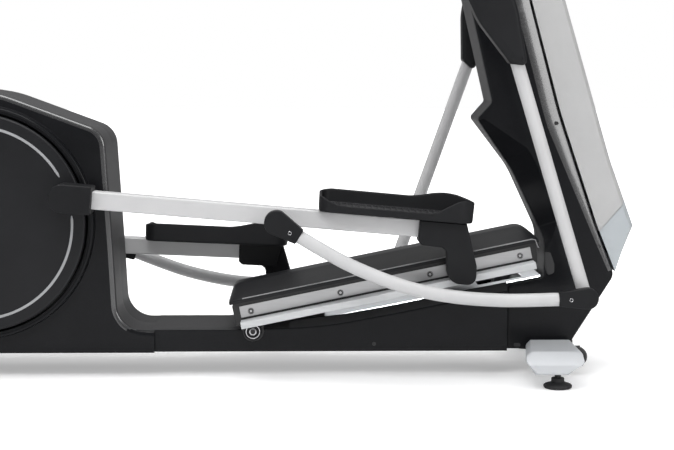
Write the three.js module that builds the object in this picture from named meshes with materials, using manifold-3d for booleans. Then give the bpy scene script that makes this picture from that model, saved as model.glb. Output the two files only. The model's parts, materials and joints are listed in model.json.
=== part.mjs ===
// Rear-drive elliptical trainer with an adjustable incline ramp.
// Millimetres. +X is forward (the way the user faces), +Y is the user's left, +Z is up, floor at Z = 0.
// The crank axis is at X = 0 while the machine is built; the last lines centre it over its own footprint.
import * as THREE from 'three';
import { mergeVertices } from 'three/addons/utils/BufferGeometryUtils.js';
import Module from 'manifold-3d';

const wasm = await Module();
wasm.setup();

const { sin, cos, hypot, atan2, PI } = Math;
const rad = THREE.MathUtils.degToRad;
const SIDES = [['right', -1], ['left', 1]];
const GAP = 0.3; // clearance between pieces that touch

// ---------------------------------------------------------------- driving dimensions

const crank = { height: 408, radius: 250, restAngle: 16.46, discRadius: 284 };
const pulley = { crankRadius: 170, flywheelRadius: 26, width: 18, beltThickness: 3 };
const flywheel = { x: -215, z: 300, radius: 150, width: 26 };
const arm = { length: 1025, rollerDrop: 96, tiltRight: 4.97, tiltLeft: 2.44, height: 46 };
const link = { along: 543, below: 10, diameter: 34 };
const handle = { x: 1348.3, z: 924.2, radius: 725.8, angleRight: 17, diameter: 34 };
const ramp = { pivotX: 714, pivotZ: 123, rearEnd: -45, frontEnd: 775 };
const roller = { radius: 24, width: 34 };
const plane = { discFace: 158, armInner: 177, armOuter: 225, handle: 262, link: 288 };
const beam = { bottom: 78, top: 118, halfWidth: 50, rear: -330, front: 1540 };
const stabilizer = {
  frontX: 1490, rearX: -300, halfWidth: 30, bottom: 44, top: beam.bottom - GAP, halfLength: 300, footY: 285,
};
const housing = { halfWidth: 130, front: 455, floor: 64, deckTop: 123, collarRadius: 304, collarFace: 150 };
const cover = { halfWidth: 120, deckHalf: 97, rear: 458, front: 1382, bottom: 65 };
const ledge = { x: 880, z: 144, slope: 0.195, length: 604, halfWidth: 96.6, thickness: 3 };
const mastHalf = 95;

// ---------------------------------------------------------------- linkage at rest

const vec = (x, z) => ({ x, z });
const crankPin = (side) => {
  const angle = rad(crank.restAngle) + (side > 0 ? PI : 0);
  return vec(crank.radius * cos(angle), crank.height + crank.radius * sin(angle));
};
const armTilt = (side) => rad(side < 0 ? arm.tiltRight : arm.tiltLeft);
const onArm = (side, along, below) => {
  const pin = crankPin(side);
  const tilt = armTilt(side);
  return vec(
    pin.x + along * cos(tilt) - below * sin(tilt),
    pin.z - along * sin(tilt) - below * cos(tilt),
  );
};
const rollerRight = onArm(-1, arm.length, arm.rollerDrop);
const rollerLeft = onArm(1, arm.length, arm.rollerDrop);
const rampSlope = atan2(rollerRight.z - rollerLeft.z, rollerRight.x - rollerLeft.x);
const toRamp = (p) => vec(
  (p.x - ramp.pivotX) * cos(rampSlope) + (p.z - ramp.pivotZ) * sin(rampSlope),
  (p.z - ramp.pivotZ) * cos(rampSlope) - (p.x - ramp.pivotX) * sin(rampSlope),
);
const pathHeight = toRamp(rollerRight).z; // roller centre above the ramp pivot, square to the slope

const knuckleRight = vec(
  handle.x + handle.radius * sin(rad(handle.angleRight)),
  handle.z - handle.radius * cos(rad(handle.angleRight)),
);
const jointRight = onArm(-1, link.along, link.below);
const linkLength = hypot(knuckleRight.x - jointRight.x, knuckleRight.z - jointRight.z);
// The left knuckle lies where the link's circle meets the handlebar's circle, ahead of the arm joint.
function knuckleFor(joint) {
  const dx = handle.x - joint.x;
  const dz = handle.z - joint.z;
  const span = hypot(dx, dz);
  const along = (linkLength ** 2 - handle.radius ** 2 + span ** 2) / (2 * span);
  const off = Math.sqrt(linkLength ** 2 - along ** 2);
  return vec(joint.x + (along * dx + off * dz) / span, joint.z + (along * dz - off * dx) / span);
}
const linkJoint = (side) => onArm(side, link.along, link.below);
const knuckle = (side) => knuckleFor(linkJoint(side));

// ---------------------------------------------------------------- geometry helpers

function toSolid(geometry) {
  const bare = geometry.clone();
  for (const name of Object.keys(bare.attributes)) {
    if (name !== 'position') bare.deleteAttribute(name);
  }
  const merged = mergeVertices(bare, 1e-3);
  return new wasm.Manifold(new wasm.Mesh({
    numProp: 3,
    vertProperties: new Float32Array(merged.attributes.position.array),
    triVerts: new Uint32Array(merged.index.array),
  }));
}

function toGeometry(solid) {
  const mesh = solid.getMesh();
  const geometry = new THREE.BufferGeometry();
  geometry.setAttribute('position', new THREE.BufferAttribute(new Float32Array(mesh.vertProperties), 3));
  geometry.setIndex(new THREE.BufferAttribute(new Uint32Array(mesh.triVerts), 1));
  geometry.computeVertexNormals();
  return geometry;
}

const combine = (first, others, action) => toGeometry(
  others.reduce((solid, other) => solid[action](toSolid(other)), toSolid(first)),
);
const join = (first, ...others) => combine(first, others, 'add');
const cut = (first, ...others) => combine(first, others, 'subtract');
const common = (first, ...others) => combine(first, others, 'intersect');

const box = (x0, x1, y0, y1, z0, z1) => new THREE.BoxGeometry(x1 - x0, y1 - y0, z1 - z0)
  .translate((x0 + x1) / 2, (y0 + y1) / 2, (z0 + z1) / 2);

const ordered = (a, b) => [a, b].sort((p, q) => p - q);

// A round bar along Y between y0 and y1.
const barY = (radius, y0, y1, x = 0, z = 0, segments = 24) => new THREE.CylinderGeometry(
  radius, radius, Math.abs(y1 - y0), segments,
).translate(x, (y0 + y1) / 2, z);

// A round bar between two points of the X-Z plane at the given Y.
function barBetween(radius, from, to, y, segments = 20) {
  const length = hypot(to.x - from.x, to.z - from.z);
  return new THREE.CylinderGeometry(radius, radius, length, segments)
    .rotateX(PI / 2)
    .rotateY(atan2(to.x - from.x, to.z - from.z))
    .translate((from.x + to.x) / 2, y, (from.z + to.z) / 2);
}

// Corner list [x, z, radius] to a closed outline with round corners, each as round as its edges allow.
function rounded(corners, steps = 3) {
  const points = [];
  corners.forEach(([x, z, radius = 0], i) => {
    const here = new THREE.Vector2(x, z);
    if (!radius) {
      points.push(here);
      return;
    }
    const [px, pz] = corners.at(i - 1);
    const [nx, nz] = corners[(i + 1) % corners.length];
    const back = new THREE.Vector2(px - x, pz - z);
    const ahead = new THREE.Vector2(nx - x, nz - z);
    const room = 0.48 * Math.min(back.length(), ahead.length());
    back.normalize();
    ahead.normalize();
    const half = Math.acos(THREE.MathUtils.clamp(back.dot(ahead), -1, 1)) / 2;
    const reach = Math.min(radius / Math.tan(half), room);
    const start = here.clone().addScaledVector(back, reach);
    const end = here.clone().addScaledVector(ahead, reach);
    const centre = here.clone().add(back.add(ahead).normalize().multiplyScalar(reach / cos(half)));
    const first = start.clone().sub(centre);
    const turn = atan2(first.cross(end.clone().sub(centre)), first.dot(end.sub(centre)));
    for (let k = 0; k <= steps; k += 1) {
      points.push(first.clone().rotateAround(new THREE.Vector2(), (turn * k) / steps).add(centre));
    }
  });
  return points;
}

// A plate whose outline lies in the X-Z plane, between y0 and y1, with chamfered faces if bevel is given.
function plate(points, y0, y1, bevel = 0, bevelDepth = bevel, holes = []) {
  const shape = new THREE.Shape(points);
  shape.holes = holes.map((hole) => new THREE.Path(hole));
  const depth = Math.abs(y1 - y0);
  return new THREE.ExtrudeGeometry(shape, {
    depth: depth - 2 * bevelDepth,
    bevelEnabled: bevel > 0,
    bevelThickness: bevelDepth,
    bevelSize: bevel,
    bevelOffset: -bevel,
    bevelSegments: 1,
  }).rotateX(PI / 2).translate(0, Math.max(y0, y1) - bevelDepth, 0);
}

// A section in the Y-Z plane, extruded along X from x0 to x1.
const extrudeX = (points, x0, x1, holes = []) => {
  const shape = new THREE.Shape(points);
  shape.holes = holes.map((hole) => new THREE.Path(hole));
  return new THREE.ExtrudeGeometry(shape, { depth: x1 - x0, bevelEnabled: false })
    .rotateX(PI / 2).rotateZ(PI / 2).translate(x0, 0, 0);
};

// A solid through matching Y-Z sections, each at its own X.
function loftX(stations) {
  const count = stations[0].section.length;
  const flip = THREE.ShapeUtils.area(stations[0].section) < 0;
  const rings = stations.map(({ x, section }) => (flip ? [...section].reverse() : section)
    .map((p) => [x, p.x, p.y]));
  const faces = [];
  for (let i = 0; i + 1 < rings.length; i += 1) {
    for (let k = 0; k < count; k += 1) {
      const a = i * count + k;
      const b = i * count + ((k + 1) % count);
      faces.push(a, b, b + count, a, b + count, a + count);
    }
  }
  const last = (rings.length - 1) * count;
  const outline = rings[0].map(([, y, z]) => new THREE.Vector2(y, z));
  for (const [a, b, c] of THREE.ShapeUtils.triangulateShape(outline, [])) {
    faces.push(a, c, b, last + a, last + b, last + c);
  }
  const geometry = new THREE.BufferGeometry();
  geometry.setAttribute('position', new THREE.Float32BufferAttribute(rings.flat(2), 3));
  geometry.setIndex(faces);
  return geometry;
}

// A flat slab whose outline lies in the X-Y plane, between z0 and z1.
const slab = (points, z0, z1) => new THREE.ExtrudeGeometry(
  new THREE.Shape(points), { depth: z1 - z0, bevelEnabled: false },
).translate(0, 0, z0);

const rectangle = (x0, x1, z0, z1, radius = 0, steps = 4) => rounded(
  [[x0, z0, radius], [x1, z0, radius], [x1, z1, radius], [x0, z1, radius]], steps,
);
const circle = (x, z, radius, count = 40) => Array.from({ length: count }, (_, i) => new THREE.Vector2(
  x + radius * cos((2 * PI * i) / count), z + radius * sin((2 * PI * i) / count),
));

// An outline moved inwards by a distance.
function inset(points, distance) {
  const count = points.length;
  const area = THREE.ShapeUtils.area(points);
  return points.map((here, i) => {
    const before = points[(i + count - 1) % count];
    const after = points[(i + 1) % count];
    const a = here.clone().sub(before).normalize();
    const b = after.clone().sub(here).normalize();
    const normal = new THREE.Vector2(-a.y - b.y, a.x + b.x).normalize().multiplyScalar(Math.sign(area));
    const stretch = Math.max(0.5, Math.abs(normal.dot(new THREE.Vector2(-a.y, a.x))));
    return here.clone().addScaledVector(normal, distance / stretch);
  });
}

// A casing in two halves that meet on the centre plane: chamfered rim, hollow, with cutters taken out.
// Below the floor, and ahead of the front if one is given, the outline is sliced off square.
function clamshell(points, halfWidth, bevel, bevelDepth, wall, cutters, floor, front = 4000) {
  const within = (shrink) => box(-4000, front - shrink, -4000, 4000, floor + shrink, 4000);
  const outer = common(plate(points, -halfWidth, halfWidth, bevel, bevelDepth), within(0));
  const inner = common(
    plate(inset(points, wall), wall - halfWidth, halfWidth - wall, bevel - wall, bevelDepth), within(wall),
  );
  const shell = cut(outer, inner, ...cutters);
  const far = 4000;
  return {
    right: cut(shell, box(-far, far, -GAP / 2, far, -far, far)),
    left: cut(shell, box(-far, far, -far, GAP / 2, -far, far)),
  };
}

// A ring about a Y axis: profile corners are [radius, y], in either direction.
function ringY(profile, x, z, segments = 48) {
  const corners = profile.map(([r, y]) => new THREE.Vector2(r, y));
  if (THREE.ShapeUtils.area(corners) < 0) corners.reverse();
  const points = [...corners, corners[0]];
  return new THREE.LatheGeometry(points, segments).translate(x, 0, z);
}

// A round tube through points, with smooth bends; it closes at both ends.
function bentTube(points, radius, steps, sides = 8) {
  const curve = new THREE.CatmullRomCurve3(points, false, 'centripetal');
  const section = new THREE.Shape(circle(0, 0, radius, sides));
  return new THREE.ExtrudeGeometry(section, { steps, extrudePath: curve, bevelEnabled: false });
}

// ---------------------------------------------------------------- materials and scene graph

const paints = {
  blackGloss: { color: 0x17181b, roughness: 0.2, metalness: 0 },
  blackMatte: { color: 0x26272a, roughness: 0.6, metalness: 0 },
  silverPaint: { color: 0xd9dadb, roughness: 0.35, metalness: 0.1 },
  greyPanel: { color: 0xb4b6b8, roughness: 0.5, metalness: 0 },
  steel: { color: 0xb0b2b5, roughness: 0.35, metalness: 0.9 },
  darkSteel: { color: 0x3a3c40, roughness: 0.5, metalness: 0.8 },
  aluminium: { color: 0xe6e7e8, roughness: 0.4, metalness: 0.6 },
  rubber: { color: 0x141414, roughness: 0.85, metalness: 0 },
  glass: { color: 0x101418, roughness: 0.08, metalness: 0 },
};
const materials = Object.fromEntries(
  Object.entries(paints).map(([name, values]) => [name, new THREE.MeshStandardMaterial(values)]),
);

const machine = new THREE.Group();
function add(name, geometry, paint, parent = machine) {
  const mesh = new THREE.Mesh(geometry, materials[paint]);
  mesh.name = name;
  parent.add(mesh);
}

// ---------------------------------------------------------------- base

function baseFrame() {
  const wall = 3;
  const tube = extrudeX(
    rectangle(-beam.halfWidth, beam.halfWidth, beam.bottom, beam.top),
    beam.rear, beam.front,
    [rectangle(wall - beam.halfWidth, beam.halfWidth - wall, beam.bottom + wall, beam.top - wall)],
  );
  const pivotHole = barY(10 + GAP, -80, 80, ramp.pivotX, ramp.pivotZ);
  const body = cut(tube, pivotHole);
  // Two uprights carry the crank bearings, and lugs on them carry the flywheel axle.
  const uprights = SIDES.map(([, side]) => {
    const outline = rounded([
      [-90, beam.top - 1, 0], [70, beam.top - 1, 0], [50, crank.height, 45], [0, crank.height + 70, 55],
      [-50, crank.height, 45],
    ]);
    const near = side * (beam.halfWidth - 10);
    return plate(outline, near, near + side * 8);
  });
  const lugs = SIDES.map(([, side]) => {
    const outline = rounded([
      [-85, 190, 0], [-60, 300, 0], [flywheel.x, flywheel.z + 34, 33], [flywheel.x - 34, flywheel.z, 33],
      [flywheel.x, flywheel.z - 36, 33],
    ]);
    const near = side * (beam.halfWidth - 10);
    return plate(outline, near, near + side * 8);
  });
  const crankBores = barY(15 + GAP, -80, 80, 0, crank.height);
  const axleBores = barY(8 + GAP, -80, 80, flywheel.x, flywheel.z);
  return cut(join(body, ...uprights, ...lugs), crankBores, axleBores);
}

function stabilizerTube(x) {
  const { halfWidth, halfLength, bottom, top } = stabilizer;
  const section = (wall) => rectangle(x - halfWidth + wall, x + halfWidth - wall, bottom + wall, top - wall);
  return plate(section(0), -halfLength, halfLength, 0, 0, [section(3)]);
}

// The soft-edged grey cover over one half of the front stabilizer: flat on top, falling away to a low
// end face, open underneath.
function stabilizerCover(side) {
  const wall = 4;
  const [start, end] = [side * 125, side * 326];
  const outline = rounded([
    [1428, 38, 9], [1512, 38, 9], [1554, 70, 12], [1550, 94, 9], [1420, 94, 9], [1401, 80, 12],
  ], 3);
  // What lies above the fall of the top near its end; lowered, it shapes the inside as well.
  const above = (lowered) => extrudeX(
    [[288, 95], [340, 54], [340, 120], [288, 120]].map(([y, z]) => new THREE.Vector2(side * y, z - lowered)),
    1380, 1570,
  );
  const outer = cut(plate(outline, start, end, 4), above(0));
  const inner = cut(plate(inset(outline, wall), start - side * 5, end - side * wall), above(wall * 1.3));
  const underside = box(1440, 1524, ...ordered(side * 120, side * 318), 20, 50);
  return cut(outer, inner, underside);
}

const footTop = stabilizer.bottom - GAP;
const levellingFoot = () => new THREE.LatheGeometry([
  [0, 0], [33, 0], [36, 3], [36, 8], [24, 14], [17, 16], [8, 27], [8, footTop], [0, footTop],
].map(([r, z]) => new THREE.Vector2(r, z)), 18).rotateX(PI / 2);

const wheel = { x: 1569, z: 48, radius: 26, halfWidth: 11, y: 112, axleRadius: 6 };

const transportWheel = (side) => ringY([
  [wheel.axleRadius + GAP, -wheel.halfWidth], [wheel.radius - 4, -wheel.halfWidth],
  [wheel.radius, 4 - wheel.halfWidth], [wheel.radius, wheel.halfWidth - 4],
  [wheel.radius - 4, wheel.halfWidth], [wheel.axleRadius + GAP, wheel.halfWidth],
], wheel.x, wheel.z, 24).translate(0, side * wheel.y, 0);

function buildBase() {
  add('base_frame', baseFrame(), 'darkSteel');
  add('front_stabilizer', join(
    stabilizerTube(stabilizer.frontX),
    ...SIDES.flatMap(([, side]) => [
      box(1510, wheel.x + 10, ...ordered(side * 96, side * 99), wheel.z - 10, wheel.z + 26),
      barY(wheel.axleRadius, side * 97, side * 124, wheel.x, wheel.z, 16),
    ]),
  ), 'darkSteel');
  add('rear_stabilizer', stabilizerTube(stabilizer.rearX), 'darkSteel');
  for (const [name, side] of SIDES) {
    add(`front_stabilizer_cover_${name}`, stabilizerCover(side), 'greyPanel');
    add(`transport_wheel_${name}`, transportWheel(side), 'rubber');
    for (const [end, x] of [['front', stabilizer.frontX], ['rear', stabilizer.rearX]]) {
      const foot = levellingFoot().translate(x, side * stabilizer.footY, 0);
      add(`levelling_foot_${end}_${name}`, foot, 'rubber');
    }
  }
}

// ---------------------------------------------------------------- covers

const housingOutline = rounded([
  [-432, 560, 210], [-405, 30, 60], [500, 30, 0], [500, housing.deckTop, 0], [361, housing.deckTop, 85],
  [351, 330, 0], [332, 644, 62], [70, 741, 300], [-300, 800, 260],
], 5);

const mastOutline = rounded([
  [1180, 1385, 24], [1289, 928, 260], [1338, 718, 12], [1299, 675, 12], [1395, 543, 260], [1481, 362, 260],
  [1481, 300, 6], [1479, 256, 8], [1384, 237, 6], [1384, 65, 0], [1544, 65, 22], [1668, 262, 30],
  [1615, 396, 0], [1515, 690, 900], [1440, 968, 900], [1338, 1385, 24],
], 3);

const shroudOutline = rounded([
  [1670, 272, 0], [1725, 389, 0], [1660, 566, 500], [1535, 985, 900], [1418, 1392, 24], [1341, 1386, 0],
  [1444, 968, 900], [1520, 690, 900], [1619, 398, 0],
], 5);

// Half of the drive housing: a flat-sided shell, with a raised collar round the opening for the disc.
function driveHousing(shell, side) {
  const { halfWidth, collarRadius, collarFace } = housing;
  const collar = barY(collarRadius, side * (halfWidth - 4), side * collarFace, 0, crank.height, 60);
  const opening = barY(crank.discRadius + 5, side * 110, side * (collarFace + 10), 0, crank.height, 60);
  return cut(join(shell, collar), opening);
}

// Height of the side panel's upper edge above the floor, from the housing forward to the mast.
const coverEdge = new THREE.SplineCurve([
  [cover.rear, 124], [560, 124], [640, 124], [740, 125.5], [840, 128], [932, 137], [1016, 152], [1100, 168],
  [1270, 203], [cover.front, 225],
].map(([x, z]) => new THREE.Vector2(x, z)));

// One side of the low base: a flat panel whose shoulder leans in to the edge of the ledge, and a deck
// that closes the top as far forward as the ledge.
function baseCover(side) {
  const wall = 4;
  const { halfWidth, deckHalf, bottom } = cover;
  const shoulder = (x) => 20 * THREE.MathUtils.smoothstep(x, 640, 880);
  const edge = coverEdge.getPoints(18);
  const panel = loftX(edge.map(({ x, y: z }) => ({
    x,
    section: [
      [halfWidth, bottom], [halfWidth, z], [deckHalf, z + shoulder(x)], [deckHalf, z + shoulder(x) - wall],
      [halfWidth - wall, z - wall], [halfWidth - wall, bottom],
    ].map(([y, height]) => new THREE.Vector2(side * y, height)),
  })));
  const top = edge.filter((p) => p.x < ledge.x).map((p) => new THREE.Vector2(p.x, p.y + shoulder(p.x)));
  const under = top.map((p) => new THREE.Vector2(p.x, p.y - wall)).reverse();
  const deck = plate([...top, ...under], side * (GAP / 2), side * (deckHalf + 1));
  return cut(join(panel, deck), barY(14, -200, 200, ramp.pivotX, ramp.pivotZ));
}

function buildCovers() {
  const { frontX, rearX, halfWidth } = stabilizer;
  const tubeOpening = (x) => box(x - halfWidth - 2, x + halfWidth + 2, -200, 200, 20, stabilizer.top + 2);
  const beamOpening = (x0, x1) => box(
    x0, x1, -beam.halfWidth - 2, beam.halfWidth + 2, beam.bottom - 2, beam.top + 2 * GAP,
  );
  const drive = clamshell(
    housingOutline, housing.halfWidth, 5, 5, 4,
    [tubeOpening(rearX), beamOpening(housing.front - 10, housing.front + 10)], housing.floor, housing.front,
  );
  add('drive_housing_right', driveHousing(drive.right, -1), 'blackGloss');
  add('drive_housing_left', driveHousing(drive.left, 1), 'blackGloss');
  for (const [name, side] of SIDES) {
    add(`base_cover_${name}`, baseCover(side), 'blackGloss');
  }

  const axleBore = barY(18, -200, 200, handle.x, handle.z);
  const liftSpace = box(1360, 1466, -88, 88, 74, 320);
  const mast = clamshell(
    mastOutline, mastHalf, 5, 9, 4, [axleBore, tubeOpening(frontX), beamOpening(1370, 1400), liftSpace], 0,
  );
  add('mast_cover_right', mast.right, 'blackGloss');
  add('mast_cover_left', mast.left, 'blackGloss');

  const nose = plate(shroudOutline, -92, 92, 16, 24);
  const noseHollow = plate(inset(shroudOutline, 4), -88, 88, 14, 22);
  const openBack = plate([
    [1208, 1500], [1344, 1500], [1449, 968], [1525, 690], [1625, 398], [1672, 284], [1608, 200],
  ].map(([x, z]) => new THREE.Vector2(x, z)), -70, 70);
  add('front_shroud', cut(nose, noseHollow, openBack), 'greyPanel');

  // A slanted ledge closes the base below the ramp; the lift passes through its window.
  const { x, z, slope, length, thickness } = ledge;
  const board = slab(rectangle(0, length, -ledge.halfWidth, ledge.halfWidth, 6, 2), 0, thickness);
  const window = slab(rectangle(440, 560, -70, 70, 8, 2), -1, thickness + 1);
  add('base_ledge', cut(board, window).rotateY(-Math.atan(slope)).translate(x, 0, z), 'greyPanel');
}

// ---------------------------------------------------------------- drive train

function crankShaft() {
  const shaft = barY(15, -146, 146, 0, crank.height);
  // Crank arms sit just behind the discs, pointing at the two crank pins.
  const arms = SIDES.map(([, side]) => {
    const pin = crankPin(side);
    const outline = rounded([
      [-34, -34, 33], [crank.radius + 26, -24, 23], [crank.radius + 26, 24, 23], [-34, 34, 33],
    ]);
    return plate(outline, side * 126, side * 142)
      .rotateY(-atan2(pin.z - crank.height, pin.x))
      .translate(0, 0, crank.height);
  });
  return join(shaft, ...arms);
}

// A shallow dish: flat face with a rim turned back towards the housing.
function crankDisc(side) {
  const face = side * plane.discFace;
  const inward = (depth) => face - side * depth;
  return ringY([
    [0, face], [crank.discRadius - 6, face], [crank.discRadius, inward(5)], [crank.discRadius, inward(14)],
    [crank.discRadius - 8, inward(14)], [crank.discRadius - 12, inward(8)], [0, inward(8)],
  ], 0, crank.height, 40);
}

function drivePulley() {
  const w = pulley.width / 2;
  return ringY([
    [15 + GAP, -20], [30, -20], [30, -5], [pulley.crankRadius - 12, -5], [pulley.crankRadius - 12, -w],
    [pulley.crankRadius, -w], [pulley.crankRadius, w], [pulley.crankRadius - 12, w],
    [pulley.crankRadius - 12, 5], [30, 5], [30, 20], [15 + GAP, 20],
  ], 0, crank.height, 36);
}

function flywheelAxle() {
  const shaft = barY(8, -62, 62, flywheel.x, flywheel.z, 24);
  const half = pulley.width / 2;
  const smallPulley = barY(pulley.flywheelRadius, -half, half, flywheel.x, flywheel.z, 36);
  return join(shaft, smallPulley);
}

function driveBelt() {
  const dx = flywheel.x;
  const dz = flywheel.z - crank.height;
  const span = hypot(dx, dz);
  const heading = atan2(dz, dx);
  // The open belt loop: an arc round each pulley, joined by the two outer tangents.
  const loop = (grow) => {
    const big = pulley.crankRadius + grow;
    const small = pulley.flywheelRadius + grow;
    const wrap = Math.acos((big - small) / span);
    const points = [];
    for (let i = 0; i <= 40; i += 1) {
      const angle = heading + wrap + ((2 * PI - 2 * wrap) * i) / 40;
      points.push(new THREE.Vector2(big * cos(angle), crank.height + big * sin(angle)));
    }
    for (let i = 0; i <= 12; i += 1) {
      const angle = heading - wrap + (2 * wrap * i) / 12;
      points.push(new THREE.Vector2(flywheel.x + small * cos(angle), flywheel.z + small * sin(angle)));
    }
    return points;
  };
  return plate(loop(0.9 + pulley.beltThickness), -7, 7, 0, 0, [loop(0.9)]);
}

// A jaw of magnets that swings over the flywheel's rim on its own pin.
function magnetBracket() {
  const outline = rounded([
    [flywheel.x - 40, flywheel.z + 128, 6], [flywheel.x + 44, flywheel.z + 128, 6],
    [flywheel.x + 44, flywheel.z + 186, 10], [flywheel.x - 40, flywheel.z + 186, 10],
  ], 3);
  const jaw = plate(outline, -8.5, -46);
  const slot = plate(circle(flywheel.x, flywheel.z, flywheel.radius + 8, 32), -11.5, -40);
  return cut(jaw, slot);
}

function buildDrive() {
  add('crank_shaft', crankShaft(), 'steel');
  add('crank_pulley', drivePulley(), 'blackMatte');
  add('drive_belt', driveBelt(), 'rubber');
  add('flywheel_axle', flywheelAxle(), 'steel');
  const wheel = ringY([
    [8 + GAP, -38], [30, -38], [30, -34], [flywheel.radius, -38], [flywheel.radius, -38 + flywheel.width],
    [30, -16], [30, -12], [8 + GAP, -12],
  ], flywheel.x, flywheel.z, 36);
  add('flywheel', wheel, 'darkSteel');
  add('magnet_bracket', magnetBracket(), 'darkSteel');
  for (const [name, side] of SIDES) {
    add(`crank_disc_${name}`, crankDisc(side), 'blackGloss');
  }
}

// ---------------------------------------------------------------- incline ramp

// Heights below are measured square to the slope, from the line that the roller centres follow.
const rampSection = { ridge: 59, ridgeHalf: 35, lip: 31, lipHalf: 156, skirt: 21, wall: 4 };
const rail = { top: -roller.radius - 0.4, thickness: 16.6, inner: 146.3, outer: 198, rear: -24, front: 752 };
const strip = { low: -27, high: 11.5, inner: 146.3, outer: 148.3, rear: -22, front: 751 };

function rampCover() {
  const { ridge, ridgeHalf, lip, lipHalf, skirt, wall } = rampSection;
  const section = (shrink, bottom) => [
    [-lipHalf + shrink, bottom], [lipHalf - shrink, bottom], [lipHalf - shrink, lip - shrink * 0.8],
    [ridgeHalf, ridge - shrink], [-ridgeHalf, ridge - shrink], [-lipHalf + shrink, lip - shrink * 0.8],
  ].map(([y, z]) => new THREE.Vector2(y, z));
  const side = (shrink, bottom) => rounded([
    [ramp.rearEnd + shrink, bottom, 0], [ramp.frontEnd - shrink, bottom, 0],
    [ramp.frontEnd - shrink, ridge - shrink, 44 - shrink],
    [ramp.rearEnd + shrink, ridge - shrink, 30 - shrink],
  ], 6);
  const form = (shrink, bottom) => common(
    extrudeX(section(shrink, bottom), ramp.rearEnd - 1, ramp.frontEnd + 1),
    plate(side(shrink, bottom), -lipHalf - 1, lipHalf + 1),
  );
  return cut(form(0, skirt), form(wall, skirt - 20));
}

function rampFrame() {
  const top = rampSection.skirt - GAP;
  const low = 12 - pathHeight;
  const outline = rounded([
    [ramp.rearEnd + 5, low, 4], [-25, low, 2], [-25, -pathHeight - 25, 24.5], [25, -pathHeight - 25, 24.5],
    [30, low, 12], [ramp.frontEnd - 12, low, 4], [ramp.frontEnd - 6, top, 0], [ramp.rearEnd + 5, top, 0],
  ]);
  const pivotBore = barY(10 + GAP, -200, 200, 0, -pathHeight);
  const sides = SIDES.map(([, side]) => plate(outline, side * 130, side * 146));
  const ties = [70, 390, 700].map((x) => barY(14, -131, 131, x, 0, 20));
  return cut(join(...sides, ...ties), pivotBore);
}

function buildRamp() {
  const group = new THREE.Group();
  group.position.set(ramp.pivotX, 0, ramp.pivotZ);
  group.rotation.y = -rampSlope;
  const onPath = new THREE.Group();
  onPath.position.z = pathHeight;
  group.add(onPath);
  machine.add(group);
  add('ramp_frame', rampFrame(), 'blackMatte', onPath);
  add('ramp_cover', rampCover(), 'blackGloss', onPath);
  for (const [name, side] of SIDES) {
    const across = (inner, outer) => ordered(side * inner, side * outer);
    add(`ramp_rail_${name}`, box(
      rail.rear, rail.front, ...across(rail.inner, rail.outer), rail.top - rail.thickness, rail.top,
    ), 'aluminium', onPath);
    add(`running_strip_${name}`, box(
      strip.rear, strip.front, ...across(strip.inner, strip.outer), strip.low + 3, strip.high,
    ), 'steel', onPath);
  }
  const heads = SIDES.map(([, side]) => barY(18, side * (146 + GAP), side * 152, ramp.pivotX, ramp.pivotZ));
  add('ramp_pivot_shaft', join(barY(10, -148, 148, ramp.pivotX, ramp.pivotZ), ...heads), 'steel');
}

// ---------------------------------------------------------------- ramp lift

const lift = { footX: 1370.6, footZ: 146, tubeLength: 125, screwFrom: 13, screwTo: 160 };

function buildLift() {
  const tie = vec(
    ramp.pivotX + 700 * cos(rampSlope) - pathHeight * sin(rampSlope),
    ramp.pivotZ + 700 * sin(rampSlope) + pathHeight * cos(rampSlope),
  );
  const group = new THREE.Group();
  group.position.set(lift.footX, 0, lift.footZ);
  group.rotation.y = atan2(tie.x - lift.footX, tie.z - lift.footZ);
  machine.add(group);
  const upright = (radius, z0, z1, y = 0) => new THREE.CylinderGeometry(radius, radius, z1 - z0, 24)
    .rotateX(PI / 2).translate(0, y, (z0 + z1) / 2);
  const motor = join(upright(22, 4, lift.tubeLength), box(-20, 20, -22, 66, 4, 34), upright(21, 30, 104, 44));
  const eye = barY(14, -12, 12, 0, 0, 24);
  add('lift_motor', cut(join(motor, eye), upright(12 + GAP, 10, lift.tubeLength + 1)), 'darkSteel', group);
  add('lift_screw', upright(12, lift.screwFrom, lift.screwTo), 'steel', group);
}

// ---------------------------------------------------------------- pedal arms

const pedal = { rear: 645, front: 1040, inner: 100, outer: 262, bottom: 23.4, floor: 38, wall: 7 };
const bracketInner = 200;
const bracketOuter = 240;

function pedalArm(side) {
  const { armInner, armOuter } = plane;
  const half = arm.height / 2;
  const wall = 3;
  const across = ordered(side * armInner, side * armOuter);
  const tube = extrudeX(
    rectangle(...across, -half, half, 5, 2), -28, 903.7,
    [rectangle(across[0] + wall, across[1] - wall, wall - half, half - wall)],
  );
  const pinBoss = barY(34, side * (plane.discFace + 1.5), side * (armInner + 1));
  const linkBoss = barY(19, side * (armOuter - 1), side * 268, link.along, -link.below);
  return join(tube, pinBoss, linkBoss);
}

function armEndCap(side) {
  const outline = rounded(
    [[-36, -36, 35.8], [72, -36, 6], [72, 36, 6], [-36, 36, 35.8]], 10,
  );
  const body = plate(outline, side * 171, side * 250, 3);
  const pocket = box(-29, 90, ...ordered(side * 176.4, side * 225.6), -23.5, 23.5);
  return cut(body, pocket, barY(34 + GAP, side * 150, side * 178));
}

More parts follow.
